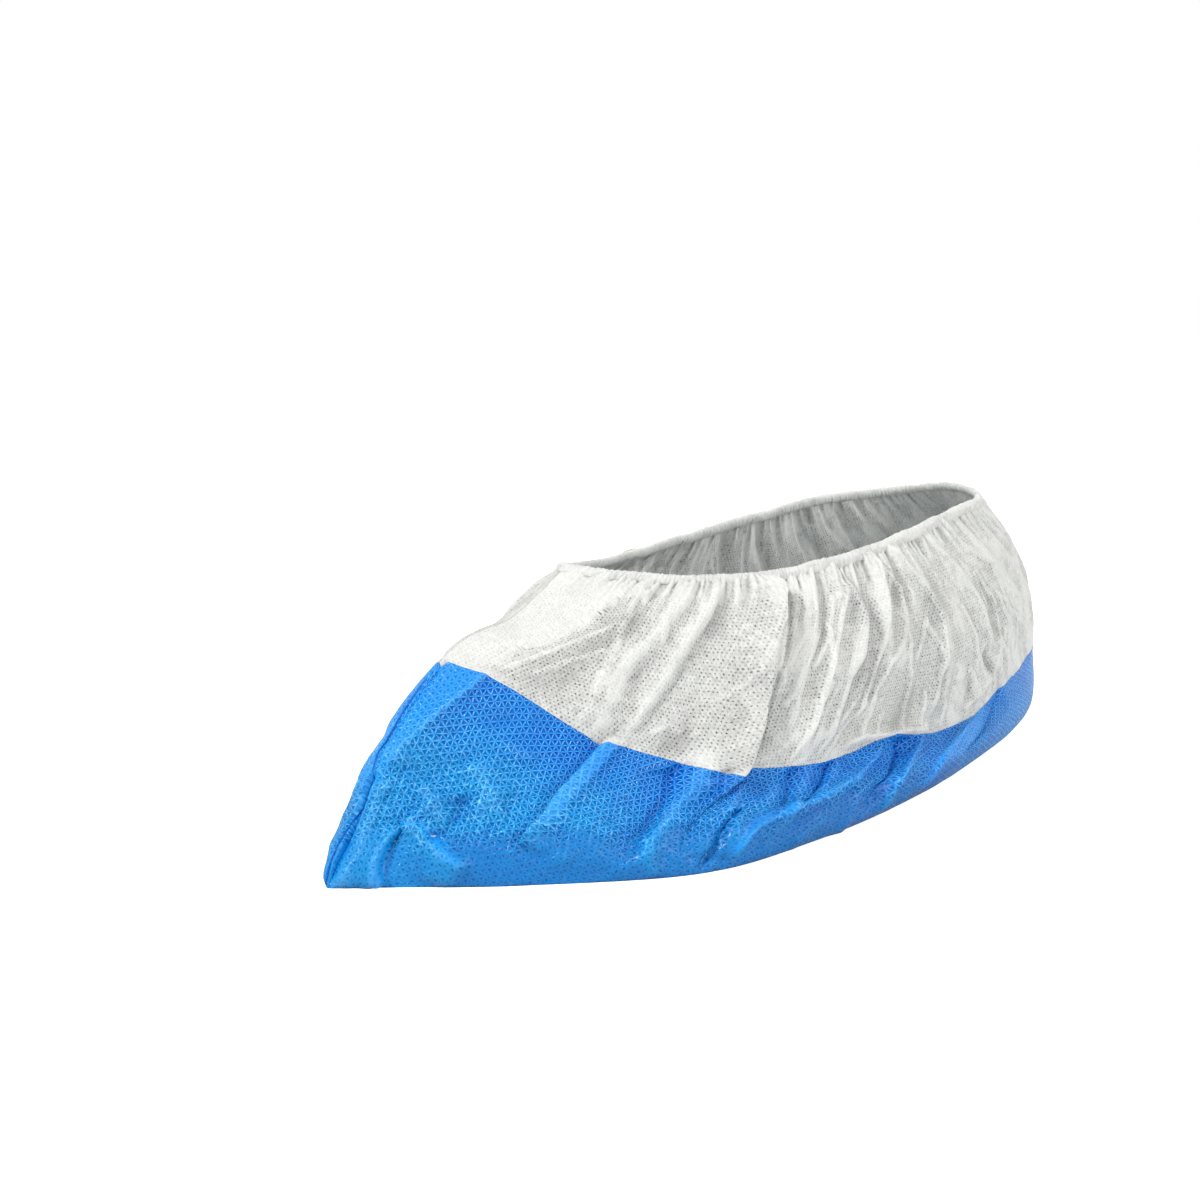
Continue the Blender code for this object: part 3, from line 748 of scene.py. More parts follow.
cloth_ridges, film_ridges = table_rows(CLOTH_RIDGES), table_rows(FILM_RIDGES)
print("the longest path has", max(len(row[-1]) for row in cloth_ridges + film_ridges), "points")

# %% [markdown]
# ## Small creases and smooth places
#
# Between the main ridges the cloth is full of short creases.  Nobody would place them by hand,
# so seeded random numbers choose where they lie, how long and how high they are, and how far
# each one turns away from the way that the folds lean there.

# %% Small creases and smooth places
FOLD_LEAN = (
    # along, how far folds lean to the heel for each millimetre up the cloth
    (0.00, 0.0), (0.15, 0.3), (0.40, 0.4), (0.54, 0.0), (0.70, -0.5), (1.00, -0.6),
)
CREASE_FIRST = 0.03       # no crease lies nearer to the toe than this place along
CREASE_BEND = 0.25        # how far one bends at most, as a share of half its length
CREASES = {
    # seed, number, last place along, levels, heights, lengths, reaches, spread of their turn
    "cloth": (61, 110, 0.86, (2.1, 3.55), (0.3, 0.8), (12, 34), (1.2, 3.0), 0.26),
    "film": (62, 90, 0.60, (0.1, 1.8), (-0.8, 0.9), (6, 22), (2.5, 6.0), 0.8),
}
SMOOTH_LIT_BLUR = 1.2           # a smooth place fades out over this many millimetres
SMOOTH_LIT_END = 0.25           # and over this share of its path


def fold_lean(x):
    return np.interp(x / side_length, *np.array(FOLD_LEAN).T)


def small_creases(seed, count, last, levels, heights, lengths, reaches, spread):
    """Rows of short random creases for both sides."""
    random = np.random.default_rng(seed)
    rows = []
    for k in range(count):
        middle = on_cloth([(random.uniform(CREASE_FIRST, last), random.uniform(*levels))])
        angle = math.pi / 2 - math.atan(fold_lean(middle[0, 0])) + random.normal(0, spread)
        half = random.uniform(*lengths) / 2
        run = np.array([math.cos(angle), math.sin(angle)]) * half
        bend = np.array([-run[1], run[0]]) * random.uniform(-CREASE_BEND, CREASE_BEND)
        path = np.concatenate([middle + run, middle + bend, middle - run])
        rows.append((("outer", "inner")[k % 2], random.uniform(*heights),
                     random.uniform(*reaches), random.uniform(*reaches), 0, path))
    return rows


def smooth_lit_film(up):
    """How smooth handling has left the film, and how much painted light it gets there, from 0 to 1.
    """
    smooth_lit = np.zeros(up.shape)
    x = np.broadcast_to(from_toe, up.shape)
    for side, rows in SMOOTH_LIT_PLACES.items():
        for heelward, toeward, amount, *path in rows:
            offset, share = across_path(x, up, on_cloth(path))
            reach = np.where(offset > 0, heelward, toeward)
            inside = ramp(np.abs(offset) - reach, SMOOTH_LIT_BLUR / 2, -SMOOTH_LIT_BLUR / 2)
            fade = ramp(share, 1, 1 - SMOOTH_LIT_END)
            smooth_lit = np.maximum(smooth_lit, amount * inside * fade * (is_outer == (side == "outer")))
    return smooth_lit


film_ridges += small_creases(*CREASES["film"])
cloth_creases = small_creases(*CREASES["cloth"])
print("small creases on the cloth:", len(cloth_creases))

# %% [markdown]
# ## Gathers under the hem
#
# The elastic shortens the hem to less than two thirds of the flat cloth.  The spare length
# stands up as puckers: narrow tongues under the hem, each with its own height and length, and
# wider ones behind them that run on into the folds.  A rounded wave with a sharp valley gives
# one tongue; a seeded table makes each of them different.

# %% Puckers
PUCKERS = (
    # width on the flat cloth, heights, depths below the hem at which they end, sharpness, seed
    (3.4, (0.6, 1.5), (10.0, 19.0), 0.8, 11),
    (6.2, (0.3, 1.2), (13.0, 28.0), 1.6, 12),
    (12.5, (0.3, 1.4), (20.0, 42.0), 2.2, 13),
)
TONGUES = 400             # different tongues of each width
PUCKER_START = 0.45       # share of its width that a tongue needs to rise below the hem
PUCKER_SHIFT = (0.45, 2.7)  # how far the tongues' spacing wanders, over how many tongues
PUCKER_REST = 0.6         # share of the mean height that the cloth between them lies lower
PUCKER_ENDS = 0.04        # the tongues fade out over this share of the side at each weld
PUFF = 2.5                # how far the cloth swells out just below the hem
PUFF_LEVEL = 3.55
PUFF_ALONG = (0.05, 0.30)  # places along between which the swelling comes in
SLACK_WAVE = (0.7, 11, 30, 21)  # height, width and length of the soft waves; seed
SLACK_FACETS = (
    # height, how many times narrower than tall, size, turn, seed
    (0.65, 1.6, 16, 0.5, 23), (0.30, 1, 6.5, 1.1, 24), (0.12, 1, 2.6, 0.2, 25),
)
SLACK_AT_TOE = 0.4        # share of the slack that the toe has
SLACK_REACH = 60.0        # and how far from the toe it is full, in millimetres
OTHER_SIDE = 400          # the inner side reads its noise this far along, so it differs


def puckers(below_hem):
    """How far the gathered tongues stand out, from the distance below the hem."""
    total = np.zeros_like(below_hem)
    flat = np.where(is_outer, from_toe, 2 * side_length - from_toe) * flat_scale
    shift, every = PUCKER_SHIFT
    for width, heights, depths, sharpness, seed in PUCKERS:
        random = np.random.default_rng(seed)
        height, depth = random.uniform(*heights, TONGUES), random.uniform(*depths, TONGUES)
        place = (flat + hand * fold_lean(from_toe) * below_hem) / width
        place = place + shift * wavy_line(place / every, seed + 20)
        number = np.floor(place).astype(int) % TONGUES
        tongue = np.sin(math.pi * (place % 1)) ** sharpness
        rise = ramp(below_hem, 0, PUCKER_START * width)
        total += height[number] * tongue * ramp(below_hem, depth[number], 0) * rise
        total -= np.mean(heights) * PUCKER_REST * ramp(below_hem, np.mean(depths), 0) * rise
    return total * ramp(np.minimum(column_along, 1 - column_along), 0, PUCKER_ENDS)


def puff(along, level):
    """The swelling below the hem, which the toe end lacks."""
    rise = ramp(level, PUFF_LEVEL - 1, PUFF_LEVEL) * ramp(level, HEM_LEVEL, PUFF_LEVEL)
    return PUFF * rise * ramp(along, *PUFF_ALONG)


def slack(x, up):
    """Soft waves and flat facets of slack cloth, longer down the cloth than across it."""
    across = x - fold_lean(x) * up + np.where(is_outer, 0, OTHER_SIDE)
    height, wide, long, seed = SLACK_WAVE
    soft = height * wavy_field(across / wide, up / long, seed)
    calm = SLACK_AT_TOE + (1 - SLACK_AT_TOE) * ramp(x, 0, SLACK_REACH)
    return (soft + facet_layers(across, up, SLACK_FACETS)) * calm


print("narrow puckers on each side:", round(FLAT_LENGTH / PUCKERS[0][0]))

# %% [markdown]
# ## Crumpled film
#
# Film cannot stretch, so where it has been handled it breaks into flat facets.  They are
# strongest low down at the toe, where the pouch was folded into a point, and almost absent
# along the film's edge.  At the toe the two sides also belly out beside the weld, and the weld
# itself bows forward half way up.

# %% Facets and the toe's belly
FILM_FACETS = (
    # height, how many times narrower than tall, size, turn, seed
    (1.0, 1, 16, 0.4, 31), (0.45, 1, 7, 1.0, 32), (0.2, 1, 3.2, 0.2, 33),
)
CRUMPLE_EDGE = 0.18       # share of the facets' height at the film's edge
CRUMPLE_LOW = (0.42, 26)  # how much more there is, and how far below the edge
CRUMPLE_TOE = (1.4, 80)   # how many times more at the toe, and how far from it that ends
CRUMPLE_HEEL = (0.55, 150, 220)  # share less at the heel, between these distances from the toe
CRUMPLE_LEVEL = 0.3       # the level below which facets flatten on to the floor
TOE_BELLY = (
    # side, height, distance from the weld and reach in millimetres, level of full height
    ("outer", 1.2, 9.0, 9.0, 0.5),
    ("inner", 2.6, 6.0, 6.5, 1.5),
)
BELLY_TOP = (2.6, 1.4)    # levels between which the belly comes in, from above
TOE_GROOVE = 0.9          # depth of the groove that the weld lies in
TOE_GROOVE_REACH = 2.0    # and half its width
TOE_GROOVE_TOP = (2.1, 1.9)  # levels between which it comes in, from above
TOE_BOW = 2.3             # how far the weld bows forward, in millimetres
TOE_BOW_LEVEL = 1.62      # the level of the bow's middle
TOE_BOW_REACH = 0.46      # how many levels above and below it
TOE_BOW_WIDE = 34.0       # how far from the weld it fades out


def crumple(x, below_edge, level):
    """Facets of the film, from the distance below its edge."""
    more, low = CRUMPLE_LOW
    times_more, near = CRUMPLE_TOE
    less, *heel = CRUMPLE_HEEL
    amount = CRUMPLE_EDGE + more * ramp(below_edge, 0, low) * (1 + times_more * ramp(x, near, 0))
    amount = amount * (1 - less * ramp(x, *heel)) * ramp(level, 0, CRUMPLE_LEVEL)
    return facet_layers(x + np.where(is_outer, 0, OTHER_SIDE), below_edge, FILM_FACETS) * amount


def toe_belly(x, level):
    """The swelling on each side of the toe's weld, and the groove between."""
    total = np.zeros_like(level)
    for side, height, place, reach, full in TOE_BELLY:
        picked = is_outer == (side == "outer")
        swell = bump_at(x, place, reach) * ramp(level, 0, full) * ramp(level, *BELLY_TOP)
        total += height * swell * picked
    return total - TOE_GROOVE * bump_at(x, 0.0, TOE_GROOVE_REACH) * ramp(level, *TOE_GROOVE_TOP)


print("sizes of the film's facets in mm:", [row[2] for row in FILM_FACETS])

# %% [markdown]
# ## Putting the cloth together
#
# One function now gives the place of any point of the cloth.  Film and bare cloth both use it,
# so that they meet exactly: the film's facets fade out above its edge, and the slack of the
# bare cloth fades out below it.

# %% The finished surface
SEAM_FADE = 6.0           # folds fade out this near the welds, in millimetres
SIDE_CLEARANCE = 0.6      # the two sides' outer faces stay this far from the centre plane
WELD_CLEARANCE = 0.6      # or, near a weld, this share of their distance from it
CALM_PLACE = (0.20, 0.08)  # place along, and reach, where the cloth has few small creases
CALM_SHARE = 0.8          # share of the small creases that are missing there
BARE_FROM = (-4, 5)       # above the film's edge, where bare cloth's own slack comes in
FILMY_FROM = (5, -1)      # and where the film's facets do, from above
CREASED_FROM = (0, 5)     # and the small creases
HEM_CALM = (0, 6)         # below the hem, where the slack comes in
CRUMPLE_AT_WELD = 0.3     # share of the film's facets that is left beside a weld


def pushed_cloth(distance, level):
    """How far every point of the cloth is pushed out and slid along."""
    x = np.broadcast_to(from_toe, level.shape)
    above_edge, below_hem = distance - edge_climb, hem_climb - distance
    bare, filmy = ramp(above_edge, *BARE_FROM), ramp(above_edge, *FILMY_FROM)
    ends = ramp(from_weld, 0, SEAM_FADE)
    push, slide, crease_push, film_push, film_slide = np.zeros((5, *level.shape))
    press_ridges(push, slide, distance, cloth_ridges)
    press_ridges(crease_push, slide, distance, cloth_creases)
    calm = 1 - CALM_SHARE * bump_at(column_along, *CALM_PLACE)
    push += crease_push * calm * ramp(above_edge, *CREASED_FROM)
    push += slack(x, above_edge) * bare * ramp(below_hem, *HEM_CALM)
    push += puff(column_along, level)
    push, slide = push * ends, slide * ends
    press_ridges(film_push, film_slide, distance, film_ridges)
    film_push += crumple(x, -above_edge, level) * (CRUMPLE_AT_WELD + (1 - CRUMPLE_AT_WELD) * ends)
    push += film_push * filmy + puckers(below_hem) * bare + toe_belly(x, level)
    return push, slide + film_slide * filmy


def cloth_surface(distance):
    """Points for rows of distances climbed by the columns, and how far each is pushed out."""
    level = level_at(distance)
    push, slide = pushed_cloth(distance, level)
    pace = np.linalg.norm(skin_slope(columns, level), axis=-1) / (2 * NUDGE)
    moved = columns + slide * hand / np.maximum(pace, 1.0)
    points = smooth_skin(moved, level) + outward(moved, level) * push[..., None]
    bow = bump_at(level, TOE_BOW_LEVEL, TOE_BOW_REACH) * ramp(from_toe, TOE_BOW_WIDE, 0)
    points[..., 1] -= TOE_BOW * bow
    points[..., 2] = np.maximum(points[..., 2], 0.0) + GROUND
    return on_own_side(points, SIDE_CLEARANCE), push


def keep_apart(points, side, gap):
    """Keeps points on their side of the centre plane, and a gap away from it."""
    points[..., 0] = side * np.maximum(points[..., 0] * side, gap)


def on_own_side(points, clearance):
    """Keeps each column's points that far from the centre plane, and less beside a weld."""
    here = slice(points.shape[1])
    keep_apart(points, hand[here], np.minimum(clearance, from_weld[here] * WELD_CLEARANCE))
    return points


def averaged(values, reach, axis):
    """A running mean over reach entries on either side."""
    padded = np.concatenate([np.take(values, [0] * (reach + 1), axis), values,
                             np.take(values, [-1] * reach, axis)], axis)
    total = np.cumsum(padded, axis)
    size = values.shape[axis]
    upper = np.take(total, np.arange(2 * reach + 1, 2 * reach + 1 + size), axis)
    return (upper - np.take(total, np.arange(size), axis)) / (2 * reach + 1)


def hollow(push, reach):
    """How far each point lies below its surroundings, in millimetres."""
    smooth = averaged(averaged(push, reach, 1), reach // 2, 1)
    return averaged(smooth, max(reach // 3, 1), 0) - push


def inset(surface, normals, step, depth):
    """Every step-th row set in by the depth, and more where a straight face would cut through."""
    kept, lean = surface[::step], normals[::step]
    extra = np.zeros(kept.shape[:2])
    for k in range(1, step):
        chord = kept[:-1] * (1 - k / step) + kept[1:] * (k / step)
        over = ((chord - surface[k::step]) * normals[k::step]).sum(-1)
        extra[:-1], extra[1:] = np.maximum(extra[:-1], over), np.maximum(extra[1:], over)
    return kept - lean * (depth + extra)[..., None]


probe, _ = cloth_surface(np.stack([edge_climb, hem_climb]))
print("the film's edge lies", probe[0, :, 2].min().round(1), "to", probe[0, :, 2].max().round(1),
      "mm high")

# %% [markdown]
# ## Unfolding, to place the weave
#
# The weave and the embossing must keep their pitch, so every point needs its place on the flat
# sheet.  We spread a coarse net over one side, measure it, and let the same net relax on a
# table: each thread pulls its two knots until it has its measured length, while the film's
# edge stays on a straight line.  A few hundred rounds are enough.

# %% Flat places
NET_COLUMNS, NET_ROWS = 60, 12
NET_ROUNDS = 600
NET_PACE = 1.2            # a little more than the mean pull settles the net sooner
NET_THREADS = ((0, 1), (1, 0), (1, 1), (1, -1))


def settle_flat(net, up, fixed_row):
    """Flat places of a net of points, from its threads' lengths."""
    rows, width = net.shape[:2]
    walked = distances_along(net, axis=1)
    middle = width // 2
    flat = np.stack([walked - walked[:, middle:middle + 1], up], axis=-1)
    flat[..., 0] += walked[fixed_row, middle]
    for _ in range(NET_ROUNDS):
        move, count = np.zeros_like(flat), np.zeros((rows, width, 1))
        for down, along in NET_THREADS:
            a = (slice(0, rows - down), slice(max(0, -along), width - max(0, along)))
            b = (slice(down, rows), slice(max(0, along), width - max(0, -along)))
            rest = np.linalg.norm(net[b] - net[a], axis=-1)[..., None]
            thread = flat[b] - flat[a]
            length = np.maximum(np.linalg.norm(thread, axis=-1, keepdims=True), 1e-6)
            pull = thread * (1 - rest / length) / 2
            for knots, way in ((a, 1), (b, -1)):
                move[knots] += way * pull
                count[knots] += 1
        flat += NET_PACE * move / count
        flat[fixed_row, :, 1] = up[fixed_row]
    return flat


def flat_places(low, high, rows, fixed_row):
    """Flat places of rows between two distances: the outer side's, then the inner side's."""
    share = np.linspace(0, 1, NET_ROWS + 1)[:, None]
    distance = low + (high - low) * share
    net_all = smooth_skin(columns, level_at(distance))
    up = distance - edge_climb
    skip = SIDE_COLUMNS // NET_COLUMNS
    sides = []
    for first in (0, SIDE_COLUMNS):
        picked = slice(first, first + SIDE_COLUMNS + 1, skip)
        coarse = settle_flat(net_all[:, picked], up[:, picked], fixed_row)
        tall = through(coarse, np.linspace(0, NET_ROWS, rows + 1))
        wide = through(tall.transpose(1, 0, 2), np.linspace(0, NET_COLUMNS, SIDE_COLUMNS + 1))
        sides.append(wide.transpose(1, 0, 2))
    return sides


print("the net has", (NET_COLUMNS + 1) * (NET_ROWS + 1), "knots")

# %% [markdown]
# ## From grids to meshes
#
# A thin wall is two grids of points joined round their rim.  Writing the arrays straight into
# the mesh is many times faster than adding faces one at a time.  Each corner of a face keeps
# its flat place as its UV, in millimetres, so that the pattern can jump at a weld as it does on
# the real pouch.

# %% Mesh helpers
SHARP_ANGLE = 70          # edges that turn further, in degrees, are shaded sharp


def grid_normals(points, closed):
    """Unit normals of a grid of points; a closed grid wraps round its columns."""
    if closed:
        wrapped = np.concatenate([points[:, -1:], points, points[:, :1]], axis=1)
        across = wrapped[:, 2:] - wrapped[:, :-2]
    else:
        across = np.gradient(points, axis=1)
    return unit(np.cross(across, np.gradient(points, axis=0)))


def grid_corners(numbers, closed=False):
    """The four corners of each cell of a table, as an array of rows of four."""
    if closed:
        numbers = np.concatenate([numbers, numbers[:, :1]], axis=1)
    corners = (numbers[:-1, :-1], numbers[:-1, 1:], numbers[1:, 1:], numbers[1:, :-1])
    return np.stack(corners, axis=2).reshape(-1, 4, *numbers.shape[2:])


def band(first, second, closed=False):
    """Quads between two equal rows of point numbers or flat places."""
    return grid_corners(np.stack([first, second]), closed)


def numbered(points, first=0):
    """The numbers of a grid of points, from the first one on."""
    return first + np.arange(points[..., 0].size).reshape(points.shape[:-1])


def fill_rows(holder, what, values, kind=np.float32):
    """Writes a whole array into a mesh at once."""
    holder.foreach_set(what, values.astype(kind).ravel())


def mesh_object(name, points, patches, finishes, measures=None):
    """A smooth-shaded object from patches of (faces, flat places of corners, finish)."""
    mesh = bpy.data.meshes.new(name)
    corners = np.concatenate([faces.ravel() for faces, _, _ in patches])
    sizes = np.concatenate([np.full(len(faces), faces.shape[1]) for faces, _, _ in patches])
    finish_of = np.concatenate([np.full(len(faces), finish) for faces, _, finish in patches])
    flat = np.concatenate([place.reshape(-1, 2) for _, place, _ in patches])
    mesh.vertices.add(len(points))
    mesh.loops.add(len(corners))
    mesh.polygons.add(len(sizes))
    fill_rows(mesh.vertices, "co", points * MM)
    fill_rows(mesh.loops, "vertex_index", corners, np.int32)
    fill_rows(mesh.polygons, "loop_start", np.cumsum(sizes) - sizes, np.int32)
    fill_rows(mesh.polygons, "material_index", finish_of, np.int32)
    fill_rows(mesh.polygons, "use_smooth", np.ones(len(sizes)), bool)
    fill_rows(mesh.uv_layers.new(name="flat_cloth").data, "uv", flat)
    for measure, values in (measures or {}).items():
        fill_rows(mesh.attributes.new(measure, "FLOAT", "POINT").data, "value", values)
    mesh.update(calc_edges=True)
    if mesh.validate():
        print("warning:", name, "had faces that needed repair")
    mesh.set_sharp_from_angle(angle=math.radians(SHARP_ANGLE))
    for finish in finishes:
        mesh.materials.append(finish)
    made = bpy.data.objects.new(name, mesh)
    bpy.context.scene.collection.objects.link(made)
    print(f"{name}: {len(points)} points, {int((sizes - 2).sum())} triangles")
    return made


print("a grid of 3 by 4 points has", len(grid_corners(np.arange(12).reshape(3, 4))), "quads")

# %% [markdown]
# ## Patterns from arithmetic
#
# The film is pressed between rollers: thin raised lines cross it in three directions and leave
# small sunken triangles.  An image could hold that pattern, but it is pure geometry: three
# families of parallel lines, each the fraction of a dot product.  The same arithmetic says how
# near a crossing we are, and which way a triangle points.  A little noise makes the places
# waver, because no film lies as straight as the rollers.

# %% Patterns from arithmetic
def triangle_lattice(tree, place, side, turns):
    """For three families of lines: the distance to the nearest line in millimetres, the way
    from a crossing, at 0, to the middle of a line, at 1, and which way a triangle points."""
    between_lines = side * math.sqrt(0.75)
    counts = []
    for turn in turns:
        direction = (math.cos(math.radians(turn)) / between_lines,
                     math.sin(math.radians(turn)) / between_lines, 0.0)
        counts.append(vector_node(tree, "DOT_PRODUCT", place, direction).outputs["Value"])
    folded = [math_node(tree, "PINGPONG", count, 0.5) for count in counts]
    nearest, furthest = chained(tree, "MINIMUM", *folded), chained(tree, "MAXIMUM", *folded)
    first, second, third = [math_node(tree, "FRACT", count) for count in counts]
    points_down = math_node(tree, "SUBTRACT", math_node(tree, "ADD", first, third), second)
    return times(tree, nearest, between_lines), times(tree, furthest, 2.0), points_down


def wavering(tree, flat, scale, reach):
    """Flat places nudged by noise, by up to about half the reach."""
    noise = noise_node(tree, flat, scale).outputs["Color"]
    centred = vector_node(tree, "SUBTRACT", noise, (0.5, 0.5, 0.5))
    nudge = vector_node(tree, "MULTIPLY", centred, (reach, reach, 0.0))
    return vector_node(tree, "ADD", flat, nudge)


def flat_place(tree):
    """The place on the flat sheet, in millimetres, which the mesh carries as its UV."""
    return add_node(tree, "ShaderNodeUVMap", uv_map="flat_cloth").outputs["UV"]


def relief(tree, height):
    """A bump from a height in millimetres."""
    return add_node(tree, "ShaderNodeBump", {"Height": height, "Distance": MM, "Strength": 1.0})


print("pattern helpers are ready")

# %% [markdown]
# ## The film's finish
#
# Lines and pits drive the bump and the colour together.  The lines are painted paler, partly
# because the polyethylene film is paler where it is drawn up into a line and partly as a painted
# highlight, and each cell is painted darkest at its bottom, a painted shade.  The rollers press
# every second triangle deeper, and it is painted darker as well, and the lines are painted less
# pale where they cross.  Low down, where the film was crumpled, the pattern wavers, and patches
# of lines are painted whitish, painted glints.  Near the fold under the sole the lines are
# pressed flat again and mostly the pits show.  The film is painted lighter towards its foot,
# painted light from the floor, and its smooth places are painted paler, painted light.

# %% Blue film
LATTICE = 2.2             # side of the embossed triangles, in millimetres
LATTICE_TURNS = (0, 60, 120)
FILM_DRAWN = (80.0, 280.0)  # between these places the boot draws the film out lengthwise
FILM_DRAW = 45.0          # by so many millimetres, and the lattice with it
FILM_LOW_REACH = (-4.0, -34.0)  # below the edge, between the colours of the top and of the foot
FLAT_REACH = (20.0, 9.0)  # above the fold, where the lines go over into flattened film
LINE_REACH = (0.28, 0.05)  # a line's colour starts, and is full, this far from its middle
SWELL_REACH = (0.62, 0.02)  # and so does its height
PIT_START = (0.24, 0.38)  # where a pit starts in fresh film, and in flattened film
PIT_FULL = 0.60
GLINT_REACH = (0.22, 0.03)
# the lines' colour: the paler drawn-up film, and partly a painted highlight
FILM_LINE_PALE_LIT = (0.040, 0.40, 0.90, 1.0)
FILM_TOP = (0.001, 0.110, 0.51, 1.0)
# painted light: the foot's colour is lighter, as if lit from the floor
FILM_LOW_LIT = (0.0015, 0.225, 0.55, 1.0)
# painted shade at the bottom of the pits
FILM_PIT_SHADE = (0.0003, 0.055, 0.40, 1.0)
# painted light on the film's smooth places
FILM_SMOOTH_LIT = (0.010, 0.285, 0.80, 1.0)
# painted glint on the lines
FILM_GLINT = (0.20, 0.62, 0.95, 1.0)
DENT_SHADE = (0.40, 0.58, 0.78, 1.0)  # painted shade: a deep dent's colour is multiplied by this
CREST_HIGHLIGHT = (0.02, 0.05, 0.08, 1.0)  # and this painted highlight is added on a crest


def rolled_place(tree, flat, apart, low):
    """Where on the rollers each place of the film was, wavering more low down."""
    drawn = remap(tree, apart.outputs["X"], *FILM_DRAWN, 0.0, -FILM_DRAW)
    drawn_out = add_node(tree, "ShaderNodeCombineXYZ", {0: drawn})
    place = vector_node(tree, "ADD", wavering(tree, flat, 0.30, 1.0), drawn_out)
    sockets = {0: low, 4: place, 5: wavering(tree, place, 0.8, 1.5)}
    return add_node(tree, "ShaderNodeMix", sockets, data_type="VECTOR").outputs[1]


def blue_film():
    made, tree, shader = new_material("embossed_blue_film")
    flat = flat_place(tree)
    apart = add_node(tree, "ShaderNodeSeparateXYZ", {0: flat})
    low = remap(tree, apart.outputs["Y"], *FILM_LOW_REACH)
    smooth_lit, dent_shading = measure_node(tree, "smooth_lit"), measure_node(tree, "hollow")
    patchy = noise_node(tree, flat, 0.12, 3.0)
    ragged = math_node(tree, "ADD", measure_node(tree, "above_fold"),
                       remap(tree, patchy, 0.3, 0.7, -4.0, 4.0))
    flattened = remap(tree, ragged, *FLAT_REACH)
    kept = between(tree, smooth_lit, 1.0, 0.58)
    # the lattice
    place = rolled_place(tree, flat, apart, low)
    away, from_crossing, points_down = triangle_lattice(tree, place, LATTICE, LATTICE_TURNS)
    # the lines are painted paler, and less so where they cross: partly a painted highlight
    line = times(tree, remap(tree, away, *LINE_REACH),
                 remap(tree, from_crossing, 0.15, 0.75, 0.30, 1.0),
                 kept, remap(tree, patchy, 0.35, 0.62, 0.6, 1.0))
    # the pits are painted darker, and every second triangle more: painted shade
    pitted = times(tree, remap(tree, away, between(tree, flattened, *PIT_START), PIT_FULL),
                   between(tree, flattened, 0.72, 0.95), kept,
                   remap(tree, points_down, 0.2, 0.8, 0.45, 1.0))
    # painted glints: patches of lines near the foot are painted whitish
    glint_patches = remap(tree, noise_node(tree, flat, 0.7), 0.48, 0.68, 0.0, 0.48)
    glinted = times(tree, glint_patches, remap(tree, low, 0.1, 0.6, 0.2, 1.0),
                    between(tree, flattened, 1.0, 0.25), remap(tree, away, *GLINT_REACH))
    # the colour, from the body up
    cloudy = remap(tree, noise_node(tree, flat, 0.045, 4.0), 0.35, 0.65, -0.15, 0.15)
    # painted light: the film is painted lighter towards its foot
    colour = blend_colours(tree, math_node(tree, "ADD", low, cloudy), FILM_TOP, FILM_LOW_LIT)
    # painted light on smooth places, painted shade in the pits, the lines partly a painted
    # highlight, and painted glints
    for share, layer in ((times(tree, smooth_lit, 0.75), FILM_SMOOTH_LIT), (pitted, FILM_PIT_SHADE),
                         (times(tree, line, between(tree, flattened, 0.80, 0.22)), FILM_LINE_PALE_LIT),
                         (glinted, FILM_GLINT)):
        colour = blend_colours(tree, share, colour, layer)
    # painted shade in deep dents, and a painted highlight on crests
    dent_shaded = blend_colours(tree, 1.0, colour, DENT_SHADE, "MULTIPLY")
    colour = blend_colours(tree, remap(tree, dent_shading, 0.1, 2.2, 0.0, 0.75), colour, dent_shaded)
    crest_lit = blend_colours(tree, 1.0, colour, CREST_HIGHLIGHT, "ADD")
    colour = blend_colours(tree, remap(tree, dent_shading, -0.1, -0.8), colour, crest_lit)
    # the bump
    raised = times(tree, remap(tree, away, *SWELL_REACH),
                   between(tree, flattened, 0.40, 0.12), kept)
    height = math_node(tree, "SUBTRACT", raised, times(tree, pitted, 0.16))
    fine = times(tree, noise_node(tree, flat, 1.2, 3.0), 0.07)
    fill_sockets(tree, shader, {
        "Base Color": colour, "IOR": 1.5, "Specular IOR Level": 0.30,
        "Roughness": remap(tree, noise_node(tree, flat, 0.35, 3.0), 0.3, 0.7, 0.15, 0.30),
        "Normal": relief(tree, math_node(tree, "ADD", height, fine))})
    return made


film_finish = blue_film()
print("film nodes:", len(film_finish.node_tree.nodes))

# %% [markdown]
# ## The bare cloth's finish
#
# Spunbond cloth is a mat of fine white fibres, melted together at small points set in
# staggered rows 1.25 mm apart.  At those points it is thin and glassy, so they look grey.  It
# is matt, a little see-through, and cloudy because the fibres never lie quite evenly.  Where
# the cloth lies in a hollow it is painted darker and its points are painted plainer, a painted
# shade; on a full crest it is painted lighter and they hardly show, a painted light.  Under the
# hem, where the cloth is doubled and crowded, the points hardly show either.

# %% White non-woven
BOND_PITCH = 1.25         # spacing of the bond points, in millimetres
BOND_RADIUS = 0.35
BOND_CORE = 0.40          # share of the radius inside which it is fully grey
SEE_THROUGH = 0.34        # share of the light that passes into the cloth
CLOTH_WHITE = (0.915, 0.92, 0.89)
BOND_GREY = (0.055, 0.065, 0.06)


def bond_points(tree, place, pitch, radius):
    """1 in the middle of each bond point of two staggered grids, 0 between them."""
    tall = pitch * math.sqrt(3)
    distances = []
    for shift in ((0.0, 0.0, 0.0), (0.5, 0.5, 0.0)):
        cell = vector_node(tree, "FRACTION", vector_node(
            tree, "MULTIPLY_ADD", place, (1 / pitch, 1 / tall, 0.0), shift))
        centred = vector_node(tree, "SUBTRACT", cell, (0.5, 0.5, 0.0))
        spread = vector_node(tree, "MULTIPLY", centred, (pitch, tall, 0.0))
        distances.append(vector_node(tree, "LENGTH", spread).outputs["Value"])
    return remap(tree, chained(tree, "MINIMUM", *distances), radius, radius * BOND_CORE)


def shaded(tree, colour, share):
    """A colour made darker by a share."""
    sockets = {0: colour, "Scale": share}
    return add_node(tree, "ShaderNodeVectorMath", sockets, operation="SCALE")


